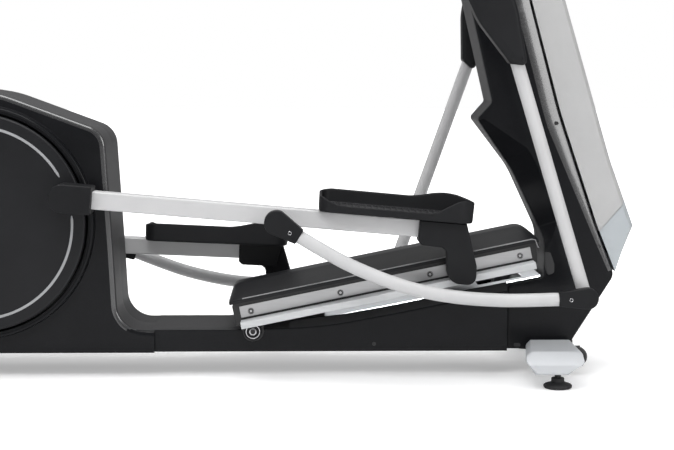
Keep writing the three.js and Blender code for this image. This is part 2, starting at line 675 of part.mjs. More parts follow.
function rollerBracket(side) {
  const bottom = -arm.rollerDrop - 37;
  const leg = rounded([
    [904, 22, 0], [904, -32, 3], [914, -41, 6], [966, -43, 4], [979, -52, 12], [988, bottom, 36],
    [1061.5, bottom, 36], [1059, -84, 30], [1024, 22, 0],
  ], 6);
  const block = rounded([[904, 22, 0], [904, -32, 3], [914, -41, 6], [1008, -42, 0], [1024, 22, 0]], 4);
  const axleBore = barY(8 + GAP, side * 190, side * 226, arm.length, -arm.rollerDrop, 24);
  return cut(join(
    plate(leg, side * bracketInner, side * bracketOuter, 2),
    plate(block, side * 176, side * (bracketInner + 4)),
  ), axleBore);
}

function pedalTray(side) {
  const across = (a, b) => ordered(side * a, side * b);
  const plan = (shrink, radius) => rounded([
    [pedal.rear + shrink, side * (pedal.inner + shrink), radius],
    [pedal.front - shrink, side * (pedal.inner + shrink), radius],
    [pedal.front - shrink, side * (pedal.outer - shrink), radius + 10],
    [pedal.rear + shrink, side * (pedal.outer - shrink), radius],
  ], 5);
  const block = slab(plan(0, 26), pedal.bottom, 90);
  const pocket = slab(plan(pedal.wall, 20), pedal.floor, 95);
  // Above these lines the tray is open: a tall inner wall, and a low outer rim that rises to heel and toe.
  const aboveTall = [
    [640, 69], [672, 74], [885, 74], [947, 88], [986, 88], [1049, 66], [1060, 120], [630, 120],
  ];
  const aboveLow = [
    [640, 68], [655, 62], [690, 43], [936, 43], [992, 80], [1022, 84], [1049, 66], [1060, 120], [630, 120],
  ];
  const toPoints = (list) => list.map(([x, z]) => new THREE.Vector2(x, z));
  return cut(
    block, pocket,
    plate(toPoints(aboveTall), ...across(80, 300)),
    plate(toPoints(aboveLow), ...across(124, 300)),
  );
}

function buildArms() {
  for (const [name, side] of SIDES) {
    const pin = crankPin(side);
    const group = new THREE.Group();
    group.position.set(pin.x, 0, pin.z);
    group.rotation.y = armTilt(side);
    machine.add(group);
    add(`pedal_arm_${name}`, pedalArm(side), 'silverPaint', group);
    add(`arm_end_cap_${name}`, armEndCap(side), 'blackMatte', group);
    add(`roller_bracket_${name}`, rollerBracket(side), 'blackMatte', group);
    add(`pedal_${name}`, pedalTray(side), 'blackMatte', group);
    const middle = side * 179;
    const half = roller.width / 2 - 1;
    add(`roller_${name}`, ringY([
      [8 + GAP, -half], [roller.radius - 2, -half], [roller.radius, 2 - half], [roller.radius, half - 2],
      [roller.radius - 2, half], [8 + GAP, half],
    ], 0, 0, 24).translate(arm.length, middle, -arm.rollerDrop), 'rubber', group);
    const axle = barY(8, side * 158, side * 225, arm.length, -arm.rollerDrop, 24);
    add(`roller_axle_${name}`, axle, 'steel', group);
  }
}

// ---------------------------------------------------------------- links and handlebars

// A cap seen from the side: round about its pivot, tapering to a sleeve end at (x, z).
function capOutline(radius, end, endHalf) {
  const heading = atan2(end.z, end.x);
  const wrap = 1.75;
  const points = [];
  for (let i = 0; i <= 16; i += 1) {
    const angle = heading + wrap + ((2 * PI - 2 * wrap) * i) / 16;
    points.push(new THREE.Vector2(radius * cos(angle), radius * sin(angle)));
  }
  const across = vec(-sin(heading) * endHalf, cos(heading) * endHalf);
  points.push(new THREE.Vector2(end.x - across.x, end.z - across.z));
  points.push(new THREE.Vector2(end.x + across.x, end.z + across.z));
  return points;
}

function linkBar(side) {
  const y = side * plane.link;
  const sag = [[34, -11], [120, -38], [215, -63], [340, -80], [450, -79], [590, -58], [752, -16]];
  const tube = bentTube(sag.map(([x, z]) => new THREE.Vector3(x, y, z)), link.diameter / 2, 20);
  const rear = plate(capOutline(31, vec(61, -20), 20), side * 270, side * 307, 3);
  const front = plate(capOutline(27, vec(-68, -18.3), 18.5), side * 281, side * 307, 3);
  return join(tube, rear, front.translate(linkLength, 0, 0));
}

const upperPath = (side, from = 0) => [
  [0, 20, 262], [-10, 120, 262], [-48, 250, 266], [-92, 370, 273], [-136, 490, 280], [-154, 540, 283],
].slice(from).map(([x, z, y]) => new THREE.Vector3(x, side * y, z));

function handlebar(side) {
  const y = side * plane.handle;
  const radius = handle.diameter / 2;
  const lower = barBetween(radius, vec(0, -handle.radius + 8), vec(0, 0), y);
  const hub = barY(30, side * 244, side * 284);
  const eye = barY(19, side * 246, side * 279.5, 0, -handle.radius);
  const upper = bentTube(upperPath(side), radius, 12);
  return cut(join(lower, hub, upper, eye), barY(12.5 + GAP, side * 200, side * 300));
}

function handleShroud(side) {
  const outline = rounded([
    [-20, -107, 13], [19, -124, 13], [24, -97, 60], [37, 16, 200], [34, 120, 80], [-6, 226, 16],
    [-66, 226, 16], [-82, 120, 120], [-66, 15, 200],
  ], 3);
  const outer = plate(outline, side * 232, side * 296, 10, 12);
  const inner = plate(inset(outline, 4), side * 236, side * 292, 4, 8);
  const lowerHole = barBetween(18.6, vec(0, -200), vec(0, 0), side * plane.handle);
  const upperHole = bentTube(upperPath(side), 19.6, 12);
  return cut(outer, inner, lowerHole, upperHole, barY(17, side * 220, side * 240));
}

function grip(side) {
  const path = upperPath(side, 3);
  const sleeve = bentTube(path, 21, 6, 12);
  const bore = bentTube([
    path[0].clone().multiplyScalar(2).sub(path[1]), ...path, path[2].clone().multiplyScalar(2).sub(path[1]),
  ], 18.6, 10, 12);
  return cut(sleeve, bore);
}

function buildHandles() {
  for (const [name, side] of SIDES) {
    const joint = linkJoint(side);
    const end = knuckle(side);
    const linkGroup = new THREE.Group();
    linkGroup.position.set(joint.x, 0, joint.z);
    linkGroup.rotation.y = -atan2(end.z - joint.z, end.x - joint.x);
    machine.add(linkGroup);
    add(`link_bar_${name}`, linkBar(side), 'silverPaint', linkGroup);

    const handleGroup = new THREE.Group();
    handleGroup.position.set(handle.x, 0, handle.z);
    handleGroup.rotation.y = -atan2(end.x - handle.x, handle.z - end.z);
    machine.add(handleGroup);
    add(`handlebar_${name}`, handlebar(side), 'silverPaint', handleGroup);
    add(`handle_shroud_${name}`, handleShroud(side), 'blackMatte', handleGroup);
    add(`handle_grip_${name}`, grip(side), 'rubber', handleGroup);
  }
}

// ---------------------------------------------------------------- mast and console

function mastPost() {
  const outline = rounded([
    [1500, beam.top + 1, 0], [1538, beam.top + 1, 0], [1541, 380, 200],
    [1394, 930, 400], [1302, 1378, 0], [1240, 1378, 0],
    [1330, 925, 400], [1492, 372, 200],
  ], 4);
  const hollow = inset(outline, 3).map((p) => new THREE.Vector2(p.x, p.y > 1300 ? p.y + 20 : p.y));
  const post = cut(plate(outline, -30, 30), plate(hollow, -27, 27));
  const foot = box(1475, 1538, -beam.halfWidth, beam.halfWidth, beam.top + GAP, beam.top + 7);
  const axle = SIDES.map(([, side]) => barY(12.5, side * 29, side * 289, handle.x, handle.z, 28));
  const collars = SIDES.map(([, side]) => barY(24, side * 29, side * 60, handle.x, handle.z, 28));
  return join(post, foot, ...axle, ...collars);
}

const consolePlace = { x: 1180, z: 1556, tilt: -65, half: 24 };
const onConsole = (geometry) => geometry
  .rotateY(rad(consolePlace.tilt))
  .translate(consolePlace.x, 0, consolePlace.z);

function consoleBody() {
  const outline = rectangle(-155, 155, -215, 215, 36, 5);
  const panel = onConsole(slab(outline, -consolePlace.half, consolePlace.half));
  const neck = plate(rounded([
    [1196, 1387, 0], [1292, 1387, 0], [1270, 1500, 60], [1222, 1600, 10], [1180, 1540, 0], [1160, 1470, 40],
  ]), -55, 55);
  return join(panel, neck);
}

function buildMast() {
  add('mast_post', mastPost(), 'darkSteel');
  add('console_body', consoleBody(), 'blackMatte');
  const screen = slab(rectangle(-95, 95, -160, 160, 8, 3), consolePlace.half + GAP, consolePlace.half + 3);
  add('console_screen', onConsole(screen), 'glass');
  const reach = [
    [930, -195, 1322], [1010, -198, 1302], [1090, -180, 1288], [1140, -100, 1284], [1150, 0, 1284],
  ];
  const points = reach.map((p) => new THREE.Vector3(...p));
  const mirrored = points.slice(0, -1).reverse().map((p) => new THREE.Vector3(p.x, -p.y, p.z));
  const clamp = box(1150, 1184, -26, 26, 1266, 1302);
  add('fixed_handlebar', join(bentTube([...points, ...mirrored], 15, 26), clamp), 'blackMatte');
}

buildBase();
buildCovers();
buildDrive();
buildRamp();
buildLift();
buildArms();
buildHandles();
buildMast();

// Centre the machine over its own footprint.
const extent = new THREE.Box3().setFromObject(machine);
machine.position.x = -(extent.min.x + extent.max.x) / 2;
machine.updateMatrixWorld(true);

export default machine;
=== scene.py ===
import json
from math import acos, atan, atan2, cos, hypot, pi, radians, sin, tan

import bmesh
import bpy
from mathutils import Matrix, Vector
from mathutils.geometry import tessellate_polygon


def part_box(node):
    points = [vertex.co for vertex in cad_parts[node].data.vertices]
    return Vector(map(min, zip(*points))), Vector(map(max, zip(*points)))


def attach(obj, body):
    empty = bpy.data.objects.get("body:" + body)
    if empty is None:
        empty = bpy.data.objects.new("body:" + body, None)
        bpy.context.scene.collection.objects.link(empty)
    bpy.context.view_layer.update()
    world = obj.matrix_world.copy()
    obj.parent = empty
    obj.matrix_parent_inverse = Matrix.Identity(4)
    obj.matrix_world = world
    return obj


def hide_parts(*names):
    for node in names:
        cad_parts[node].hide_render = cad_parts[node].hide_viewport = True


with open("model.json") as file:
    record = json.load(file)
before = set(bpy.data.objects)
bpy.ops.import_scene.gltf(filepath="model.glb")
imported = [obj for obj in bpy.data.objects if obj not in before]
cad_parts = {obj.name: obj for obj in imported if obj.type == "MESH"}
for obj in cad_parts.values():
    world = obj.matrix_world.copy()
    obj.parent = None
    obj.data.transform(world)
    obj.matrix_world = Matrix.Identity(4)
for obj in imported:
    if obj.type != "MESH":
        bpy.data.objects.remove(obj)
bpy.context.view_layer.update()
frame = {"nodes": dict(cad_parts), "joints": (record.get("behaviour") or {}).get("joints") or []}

# Shapes are drawn in millimetres from the crank axis, +X forward, +Z up, and placed in the frame in metres.
disc_low, disc_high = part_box("crank_disc_right")
CRANK = Vector(((disc_low.x + disc_high.x) / 2, 0, (disc_low.z + disc_high.z) / 2)) * 1000
CRANK_Z = CRANK.z
SIDES = (("right", -1), ("left", 1))
MACHINE = Matrix.Scale(0.001, 4) @ Matrix.Translation((CRANK.x, 0, 0))


def at(x, z, turn=0.0, up=0.0):
    """The place of a part drawn about its own origin: x and z from the crank axis, turned about Y."""
    return MACHINE @ Matrix.Translation((x, 0, z)) @ Matrix.Rotation(turn, 4,
                                                                     "Y") @ Matrix.Translation((0, 0, up))


# ---- linkage at rest, as in the CAD

CRANK_RADIUS = 250
REST_ANGLE = radians(16.46)
TILT = {-1: radians(4.97), 1: radians(2.44)}
LINK_ALONG, LINK_BELOW = 543, 10
ARM_LENGTH, ROLLER_DROP = 1025, 96
HANDLE_X, HANDLE_Z, HANDLE_RADIUS = 1348.3, 924.2, 725.8
RAMP_X, RAMP_Z = 714, 123


def joint_place(name):
    found = next(j for j in frame["joints"] if j["name"] == name)
    return Vector(found["pos_m"]) * 1000 - Vector((CRANK.x, 0, 0))


def crank_pin(side):
    angle = REST_ANGLE + (pi if side > 0 else 0)
    return Vector((CRANK_RADIUS * cos(angle), 0, CRANK_Z + CRANK_RADIUS * sin(angle)))


def arm_place(side):
    pin = crank_pin(side)
    return at(pin.x, pin.z, TILT[side])


def on_arm(side, along, below):
    pin, tilt = crank_pin(side), TILT[side]
    return Vector((pin.x + along * cos(tilt) - below * sin(tilt), 0,
                   pin.z - along * sin(tilt) - below * cos(tilt)))


rollers = {side: joint_place(f"arm_tilt_{name}") for name, side in SIDES}
knuckles = {side: joint_place(f"link_turn_{name}") for name, side in SIDES}
climb = rollers[-1] - rollers[1]
SLOPE = atan2(climb.z, climb.x)
PATH = ((rollers[-1].z - RAMP_Z) * cos(SLOPE) - (rollers[-1].x - RAMP_X) * sin(SLOPE))
RAMP = at(RAMP_X, RAMP_Z, -SLOPE, PATH)


def link_place(side):
    start, end = on_arm(side, LINK_ALONG, LINK_BELOW), knuckles[side]
    return at(start.x, start.z, -atan2(end.z - start.z, end.x - start.x))


def handle_place(side):
    end = knuckles[side]
    return at(HANDLE_X, HANDLE_Z, -atan2(end.x - HANDLE_X, HANDLE_Z - end.z))


link_span = knuckles[-1] - on_arm(-1, LINK_ALONG, LINK_BELOW)
LINK_LENGTH = hypot(link_span.x, link_span.z)

# ---- materials


def set_inputs(made, inputs):
    for key, value in inputs.items():
        made.inputs[key].default_value = value


def node(tree, kind, operation=None, **inputs):
    """A shader node; an input is named with _ for a space, and a math node's constant by its number."""
    made = tree.nodes.new(kind)
    if operation:
        made.operation = operation
    names = {key: int(key[1:]) if key[0] == "_" else key.replace("_", " ") for key in inputs}
    set_inputs(made, {names[key]: value for key, value in inputs.items()})
    return made


FINE_SHARE = 0.45
COAT_ROUGHNESS = 0.06


def finish(name, dark, light, rough, metallic=0.0, tone_scale=9.0, grain_scale=900.0, grain=0.04,
           stretch=(1, 1, 1), turn=0.0, coat=0.0, spread=0.08, specular=0.5, anisotropic=0.0, sheen=0.0):
    """A moulded, painted or metal surface: broad colour variation, a fine grain, and a roughness to match."""
    made = bpy.data.materials.new(name)
    made.use_nodes = True
    tree = made.node_tree
    link = tree.links.new
    shader = tree.nodes["Principled BSDF"]
    set_inputs(shader, {"Metallic": metallic, "Coat Weight": coat, "Coat Roughness": COAT_ROUGHNESS,
                        "Specular IOR Level": specular, "Anisotropic": anisotropic, "Sheen Weight": sheen})
    place = node(tree, "ShaderNodeTexCoord")
    mapping = node(tree, "ShaderNodeMapping", Rotation=(0, turn, 0), Scale=stretch)
    link(place.outputs["Object"], mapping.inputs["Vector"])
    broad = node(tree, "ShaderNodeTexNoise", Scale=tone_scale, Detail=4.0, Roughness=0.6)
    fine = node(tree, "ShaderNodeTexNoise", Scale=grain_scale, Detail=2.0, Roughness=0.5)
    for noise in (broad, fine):
        link(mapping.outputs["Vector"], noise.inputs["Vector"])
    blend = node(tree, "ShaderNodeMath", "MULTIPLY_ADD", _1=FINE_SHARE)
    half = node(tree, "ShaderNodeMath", "MULTIPLY", _1=1 - FINE_SHARE)
    link(fine.outputs["Fac"], blend.inputs[0])
    link(broad.outputs["Fac"], half.inputs[0])
    link(half.outputs[0], blend.inputs[2])
    ramp = node(tree, "ShaderNodeValToRGB")
    for element, position, color in zip(ramp.color_ramp.elements, (0.34, 0.66), (dark, light)):
        element.position = position
        element.color = (*color, 1)
    link(blend.outputs[0], ramp.inputs["Fac"])
    link(ramp.outputs["Color"], shader.inputs["Base Color"])
    gloss = node(tree, "ShaderNodeMapRange", From_Min=0.3, From_Max=0.7, To_Min=max(0.02, rough - spread),
                 To_Max=min(1.0, rough + spread))
    link(blend.outputs[0], gloss.inputs["Value"])
    link(gloss.outputs["Result"], shader.inputs["Roughness"])
    bump = node(tree, "ShaderNodeBump", Strength=grain, Distance=0.0004)
    link(fine.outputs["Fac"], bump.inputs["Height"])
    link(bump.outputs["Normal"], shader.inputs["Normal"])
    return made


GLOSS = finish("gloss_black", (0.0065, 0.0068, 0.0078), (0.0095, 0.0098, 0.0112), 0.2, grain_scale=260,
               grain=0.025, spread=0.03, specular=0.14)
# A lighter, shinier copy of the gloss black for the faces where highlights fall: its lighter colour is a
# painted highlight, and its shine reflects the lamps.
GLOSS_HIGHLIGHT = finish("gloss_black_highlight", (0.0085, 0.0088, 0.0098), (0.0125, 0.0128, 0.0142), 0.26, grain_scale=260,
              grain=0.025, spread=0.03, specular=1.0, coat=0.6)
SATIN = finish("satin_black", (0.0085, 0.0088, 0.0100), (0.0125, 0.0128, 0.0145), 0.36, grain_scale=1100,
               grain=0.1, spread=0.05, specular=0.22)
BAND = finish("band_black", (0.034, 0.034, 0.035), (0.043, 0.043, 0.045), 0.55, grain_scale=1500,
              grain=0.22, spread=0.05, specular=0.25)
MATTE = finish("matte_black", (0.0075, 0.0078, 0.0088), (0.0115, 0.0118, 0.0132), 0.5, grain_scale=1300,
               grain=0.2, spread=0.06, specular=0.18)
TREAD = finish("tread_black", (0.012, 0.012, 0.0135), (0.03, 0.03, 0.033), 0.42, grain_scale=700, grain=0.3,
               spread=0.1)
SILVER = finish("silver_paint", (0.50, 0.50, 0.505), (0.555, 0.555, 0.56), 0.34, grain_scale=1400,
                grain=0.12, spread=0.05)
PANEL = finish("grey_panel", (0.425, 0.425, 0.425), (0.46, 0.46, 0.46), 0.42, grain_scale=1500, grain=0.12,
               spread=0.05)
PANEL_COOL = finish("grey_panel_cool", (0.40, 0.43, 0.45), (0.44, 0.47, 0.49), 0.4, grain_scale=1500,
                    grain=0.12, spread=0.05)
COVER_GREY = finish("cover_grey", (0.50, 0.515, 0.535), (0.55, 0.565, 0.585), 0.4, grain_scale=1500,
                    grain=0.1, spread=0.05)
STAINLESS = finish("stainless", (0.40, 0.40, 0.405), (0.46, 0.46, 0.465), 0.34, metallic=1.0, tone_scale=14,
                   grain_scale=300, grain=0.05, stretch=(0.05, 3, 4), turn=SLOPE, spread=0.05,
                   anisotropic=0.4)
RAIL = finish("rail_aluminium", (0.50, 0.51, 0.52), (0.59, 0.60, 0.61), 0.45, metallic=0.1, tone_scale=20,
              grain_scale=300, grain=0.06, stretch=(0.05, 2, 3), turn=SLOPE)
BRIGHT = finish("bright_steel", (0.35, 0.35, 0.36), (0.6, 0.6, 0.61), 0.24, metallic=1.0, tone_scale=60,
                grain_scale=500, grain=0.05)
STEEL = finish("frame_steel", (0.018, 0.019, 0.021), (0.03, 0.031, 0.034), 0.45, tone_scale=12,
               grain_scale=800, grain=0.25)
ALLOY = finish("pulley_alloy", (0.26, 0.26, 0.27), (0.4, 0.4, 0.41), 0.38, metallic=1.0, tone_scale=40,
               grain_scale=500, grain=0.15)
IRON = finish("flywheel_iron", (0.09, 0.09, 0.095), (0.18, 0.18, 0.185), 0.42, metallic=1.0, tone_scale=50,
              grain_scale=400, grain=0.2)
RUBBER = finish("foot_rubber", (0.005, 0.005, 0.0055), (0.011, 0.011, 0.012), 0.62, tone_scale=30,
                grain_scale=600, grain=0.45, spread=0.12)
TYRE = finish("roller_tyre", (0.02, 0.02, 0.02), (0.045, 0.045, 0.045), 0.5, tone_scale=40, grain_scale=500,
              grain=0.2)
GRIP = finish("grip_rubber", (0.010, 0.010, 0.011), (0.024, 0.024, 0.026), 0.75, tone_scale=60,
              grain_scale=900, grain=0.8, sheen=0.15)
BELT = finish("belt_rubber", (0.010, 0.010, 0.010), (0.025, 0.025, 0.025), 0.7, grain_scale=500, grain=0.4)
GLASS = finish("screen_glass", (0.004, 0.005, 0.007), (0.006, 0.007, 0.010), 0.06, grain_scale=40,
               grain=0.0, spread=0.02, coat=1.0)
RING = finish("ring_paint", (0.30, 0.305, 0.315), (0.36, 0.365, 0.375), 0.35, grain_scale=900, grain=0.1)
# Light grey for the thin tube along the ramp's lip: a painted highlight.
LIP_HIGHLIGHT = finish("lip_highlight_grey", (0.20, 0.20, 0.205), (0.27, 0.27, 0.275), 0.3, grain_scale=900, grain=0.05)
DARK = finish("screw_dark", (0.006, 0.006, 0.006), (0.014, 0.014, 0.015), 0.4, grain_scale=700, grain=0.1)

# ---- outlines


def rounded(corners, steps=12):
    """Corners (x, z, radius) to a closed outline with round corners, each as round as its edges allow."""
    points = []
    count = len(corners)
    for i, corner in enumerate(corners):
        here, radius = Vector(corner[:2]), corner[2]
        if not radius:
            points.append(here)
            continue
        back = Vector(corners[i - 1][:2]) - here
        ahead = Vector(corners[(i + 1) % count][:2]) - here
        room = 0.48 * min(back.length, ahead.length)
        back.normalize()
        ahead.normalize()
        half = acos(max(-1, min(1, back.dot(ahead)))) / 2
        reach = min(radius / tan(half), room)
        centre = here + (back + ahead).normalized() * (reach / cos(half))
        first, last = here + back * reach - centre, here + ahead * reach - centre
        turn = atan2(first.x * last.y - first.y * last.x, first.dot(last))
        for k in range(steps + 1):
            a = turn * k / steps
            points.append(centre + Vector((first.x * cos(a) - first.y * sin(a),
                                           first.x * sin(a) + first.y * cos(a))))
    return points


def circle(radius, x=0.0, z=0.0, count=96):
    return [Vector((x + radius * cos(2 * pi * i / count), z + radius * sin(2 * pi * i / count)))
            for i in range(count)]


def signed_area(points):
    return sum(a.x * b.y - a.y * b.x for a, b in zip(points, points[1:] + points[:1])) / 2


def inset(points, distances):
    """The outline moved inwards; distances is one number, or one for each point."""
    if not hasattr(distances, "__len__"):
        distances = [distances] * len(points)
    sign = 1 if signed_area(points) > 0 else -1
    moved = []
    for i, here in enumerate(points):
        a = (here - points[i - 1]).normalized()
        b = (points[(i + 1) % len(points)] - here).normalized()
        normal = Vector((-a.y - b.y, a.x + b.x)).normalized() * sign
        stretch = max(0.5, abs(normal.dot(Vector((-a.y, a.x)))))
        moved.append(here + normal * (distances[i] / stretch))
    return moved


def catmull(points, steps=10):
    """A smooth centripetal curve through the points."""
    chain = [points[0] * 2 - points[1], *points, points[-1] * 2 - points[-2]]
    curve = []
    for p0, p1, p2, p3 in zip(chain, chain[1:], chain[2:], chain[3:]):
        t1 = (p1 - p0).length ** 0.5
        t2 = t1 + (p2 - p1).length ** 0.5
        t3 = t2 + (p3 - p2).length ** 0.5
        for k in range(steps):
            t = t1 + (t2 - t1) * k / steps
            a1 = p0.lerp(p1, t / t1)
            a2 = p1.lerp(p2, (t - t1) / (t2 - t1))
            a3 = p2.lerp(p3, (t - t2) / (t3 - t2))
            b1 = a1.lerp(a2, t / t2)
            b2 = a2.lerp(a3, (t - t1) / (t3 - t1))
            curve.append(b1.lerp(b2, (t - t1) / (t2 - t1)))
    curve.append(points[-1].copy())
    return curve


def smooth(value, low, high):
    t = max(0.0, min(1.0, (value - low) / (high - low)))
    return t * t * (3 - 2 * t)


def along(table, x):
    """A value read off a table of (x, value) pairs, straight between them."""
    if x <= table[0][0]:
        return table[0][1]
    for (x0, v0), (x1, v1) in zip(table, table[1:]):
        if x <= x1:
            return v0 + (v1 - v0) * (x - x0) / (x1 - x0)
    return table[-1][1]


# ---- mesh building


def loft(bm, rings, material=0, start=True, end=True, holes=(), closed=False):
    """Joins closed rings of equal length by quads; material is one index, or one for each step."""
    made = [[bm.verts.new(p) for p in ring] for ring in rings]
    for k, (a, b) in enumerate(zip(made, made[1:] + made[:1] if closed else made[1:])):
        index = material[k] if hasattr(material, "__len__") else material
        for i in range(len(a)):
            j = (i + 1) % len(a)
            face = bm.faces.new((a[i], a[j], b[j], b[i]))
            face.material_index = index
    index = material[-1] if hasattr(material, "__len__") else material
    for shown, ring in ((start, made[0]), (end, made[-1])):
        if not shown:
            continue
        loops = [ring, *holes] if ring is made[-1] else [ring]
        flat = [v for loop in loops for v in loop]
        for tri in tessellate_polygon([[v.co for v in loop] for loop in loops]):
            try:
                bm.faces.new([flat[t] for t in tri]).material_index = index
            except ValueError:
                pass
    return made


def flat_ring(points, y):
    return [Vector((p.x, y, p.y)) for p in points]


def soft_rings(outline, y0, y1, bevel=2.0, steps=4):
    """Rings of a plate between y0 and y1, its two rims rounded by bevel."""
    side = 1 if y1 > y0 else -1
    quarter = [pi / 2 * k / steps for k in range(steps + 1)]
    levels = [(1 - sin(a), y0 + side * bevel * (1 - cos(a))) for a in quarter]
    levels.extend((1 - cos(a), y1 - side * bevel * (1 - sin(a))) for a in quarter)
    return [flat_ring(inset(outline, bevel * shrink), y) for shrink, y in levels]


def add_plate(bm, outline, y0, y1, bevel=2.0, steps=4, material=0):
    loft(bm, soft_rings(outline, y0, y1, bevel, steps), material)


def hoop(centre, out, other, radius, count):
    """A circle of points about a centre, in the plane of two unit vectors."""
    turns = [2 * pi * i / count for i in range(count)]
    return [centre + out * (radius * cos(a)) + other * (radius * sin(a)) for a in turns]


def path_tangents(points):
    last = len(points) - 1
    return [(points[min(i + 1, last)] - points[max(i - 1, 0)]).normalized() for i in range(last + 1)]


def add_tube(bm, points, radius, sides=40, cap=3.0):
    """A round bar along points, its ends rounded over by cap."""
    tangents = path_tangents(points)
    normal = tangents[0].cross(Vector((0, 1, 0)))
    if normal.length < 1e-3:
        normal = tangents[0].cross(Vector((1, 0, 0)))
    normal.normalize()
    stations = []
    for here, tangent in zip(points, tangents):
        normal = (normal - tangent * normal.dot(tangent)).normalized()
        stations.append((here, normal.copy(), tangent.cross(normal)))
    rings = []

    def end_ring(end, k, inward):
        here, out, other = stations[end]
        a = pi / 2 * k / 3
        shift = tangents[end] * (inward * cap * (1 - cos(a)))
        rings.append(hoop(here + shift, out, other, radius - cap * (1 - sin(a)), sides))
    for k in range(3):
        end_ring(0, k, 1)
    rings.extend(hoop(*station, radius, sides) for station in stations[1:-1])
    for k in range(3, -1, -1):
        end_ring(-1, k, -1)
    loft(bm, rings)


ALONG_X, UP = Vector((1, 0, 0)), Vector((0, 0, 1))


def add_lathe(bm, profile, x=0.0, z=0.0, segments=96, side=1, material=0):
    """A turned form about Y: profile points are (radius, place outwards); a closed profile makes a ring."""
    closed = profile[0] == profile[-1]
    corners = profile[:-1] if closed else profile
    rings = [hoop(Vector((x, side * y, z)), ALONG_X, UP, r, segments) for r, y in corners]
    loft(bm, rings, material, start=not closed, end=not closed, closed=closed)


def add_block(bm, x0, x1, y0, y1, z0, z1, radius=3.0, bevel=1.5):
    """A block with round corners seen from the side and softened rims."""
    outline = rounded([(x0, z0, radius), (x1, z0, radius), (x1, z1, radius), (x0, z1, radius)], 5)
    add_plate(bm, outline, y0, y1, bevel, 3)


def piece(name, bm, materials, body, place=MACHINE, replaces=(), crease=38.0, wall=0.0, face_y=None):
    """Turns a bmesh in millimetres into a finished piece in the row frame."""
    bmesh.ops.remove_doubles(bm, verts=bm.verts, dist=0.003)
    bmesh.ops.recalc_face_normals(bm, faces=bm.faces)
    if face_y is not None:
        top = max(bm.faces, key=lambda f: f.calc_center_median().y * face_y)
        if top.normal.y * face_y < 0:
            bmesh.ops.reverse_faces(bm, faces=bm.faces)
    bm.transform(place)
    mesh = bpy.data.meshes.new(name)
    bm.to_mesh(mesh)
    bm.free()
    for material in materials:
        mesh.materials.append(material)
    mesh.polygons.foreach_set("use_smooth", [True] * len(mesh.polygons))
    mesh.set_sharp_from_angle(angle=radians(crease))
    made = bpy.data.objects.new(name, mesh)
    bpy.context.scene.collection.objects.link(made)
    if wall:
        solidify = made.modifiers.new("wall", "SOLIDIFY")
        solidify.thickness = wall * 0.001
        solidify.offset = -1
        solidify.thickness_clamp = 1.0
    weighted = made.modifiers.new("shade", "WEIGHTED_NORMAL")
    weighted.keep_sharp = True
    weighted.weight = 80
    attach(made, body)
    if replaces:
        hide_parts(*replaces)
    return made


def slice_off(bm, point, outward):
    """Removes what lies beyond a plane."""
    geometry = [*bm.verts, *bm.edges, *bm.faces]
    bmesh.ops.bisect_plane(bm, geom=geometry, plane_co=Vector(point), plane_no=Vector(outward),
                           clear_outer=True)


# ---- drive housing and crank discs

HOUSING = rounded([(-432, 560, 210), (-405, 30, 60), (500, 30, 0), (500, 123, 0), (361, 123, 85),
                   (351, 330, 500), (332, 644, 62), (70, 741, 300), (-300, 800, 260)], 16)
HOUSING_HALF, HOUSING_FLOOR, HOUSING_FRONT = 130, 64, 455
DISC_FACE, DISC_RADIUS = 158, 284


def housing_half(name, side):
    bm = bmesh.new()
    profile = [(0, 0.15), (0, 60), (0, 119), (0.8, 123.4), (3, 127), (7, 129.1), (14, HOUSING_HALF)]
    rings = [flat_ring(inset(HOUSING, d), side * y) for d, y in profile]
    collar = [(310, 130), (307, 131), (305, 134), (304, 146), (303, 148.6), (301, 149.8), (298, 150),
              (296.4, 149.4), (295.6, 147), (292.8, 147), (291.8, 149.3), (290.6, 149.3), (289.6, 148),
              (289.4, 140), (289.4, 124), (287, 121), (240, 121)]
    loops = [[Vector((x.x, side * y, x.y)) for x in circle(r, 0, CRANK_Z, 144)] for r, y in collar]
    made = loft(bm, loops, 0, start=False, end=False)
    # The fillet into the side takes the lighter, shinier copy of the gloss black: painted highlight.
    loft(bm, rings, (1, 1, 1, 1, 2, 2), start=False, end=True, holes=[made[0]])
    bm.normal_update()
    for f in bm.faces:
        middle = f.calc_center_median()
        if abs(f.normal.y) > 0.9999 and abs(middle.y) > 129.9:
            f.material_index = 0
        if abs(middle.y) > 125 and middle.z < 125 and middle.x > 300:
            f.material_index = 0
    slice_off(bm, (0, 0, HOUSING_FLOOR), (0, 0, -1))
    slice_off(bm, (HOUSING_FRONT, 0, 0), (1, 0, 0))
    piece(f"housing_{name}", bm, (GLOSS, BAND, GLOSS_HIGHLIGHT), "frame",
          replaces=[f"drive_housing_{name}"], wall=3.5, face_y=side, crease=30)


RING_RADIUS, RING_GAP, RING_TIP = 250, radians(12), 0.35


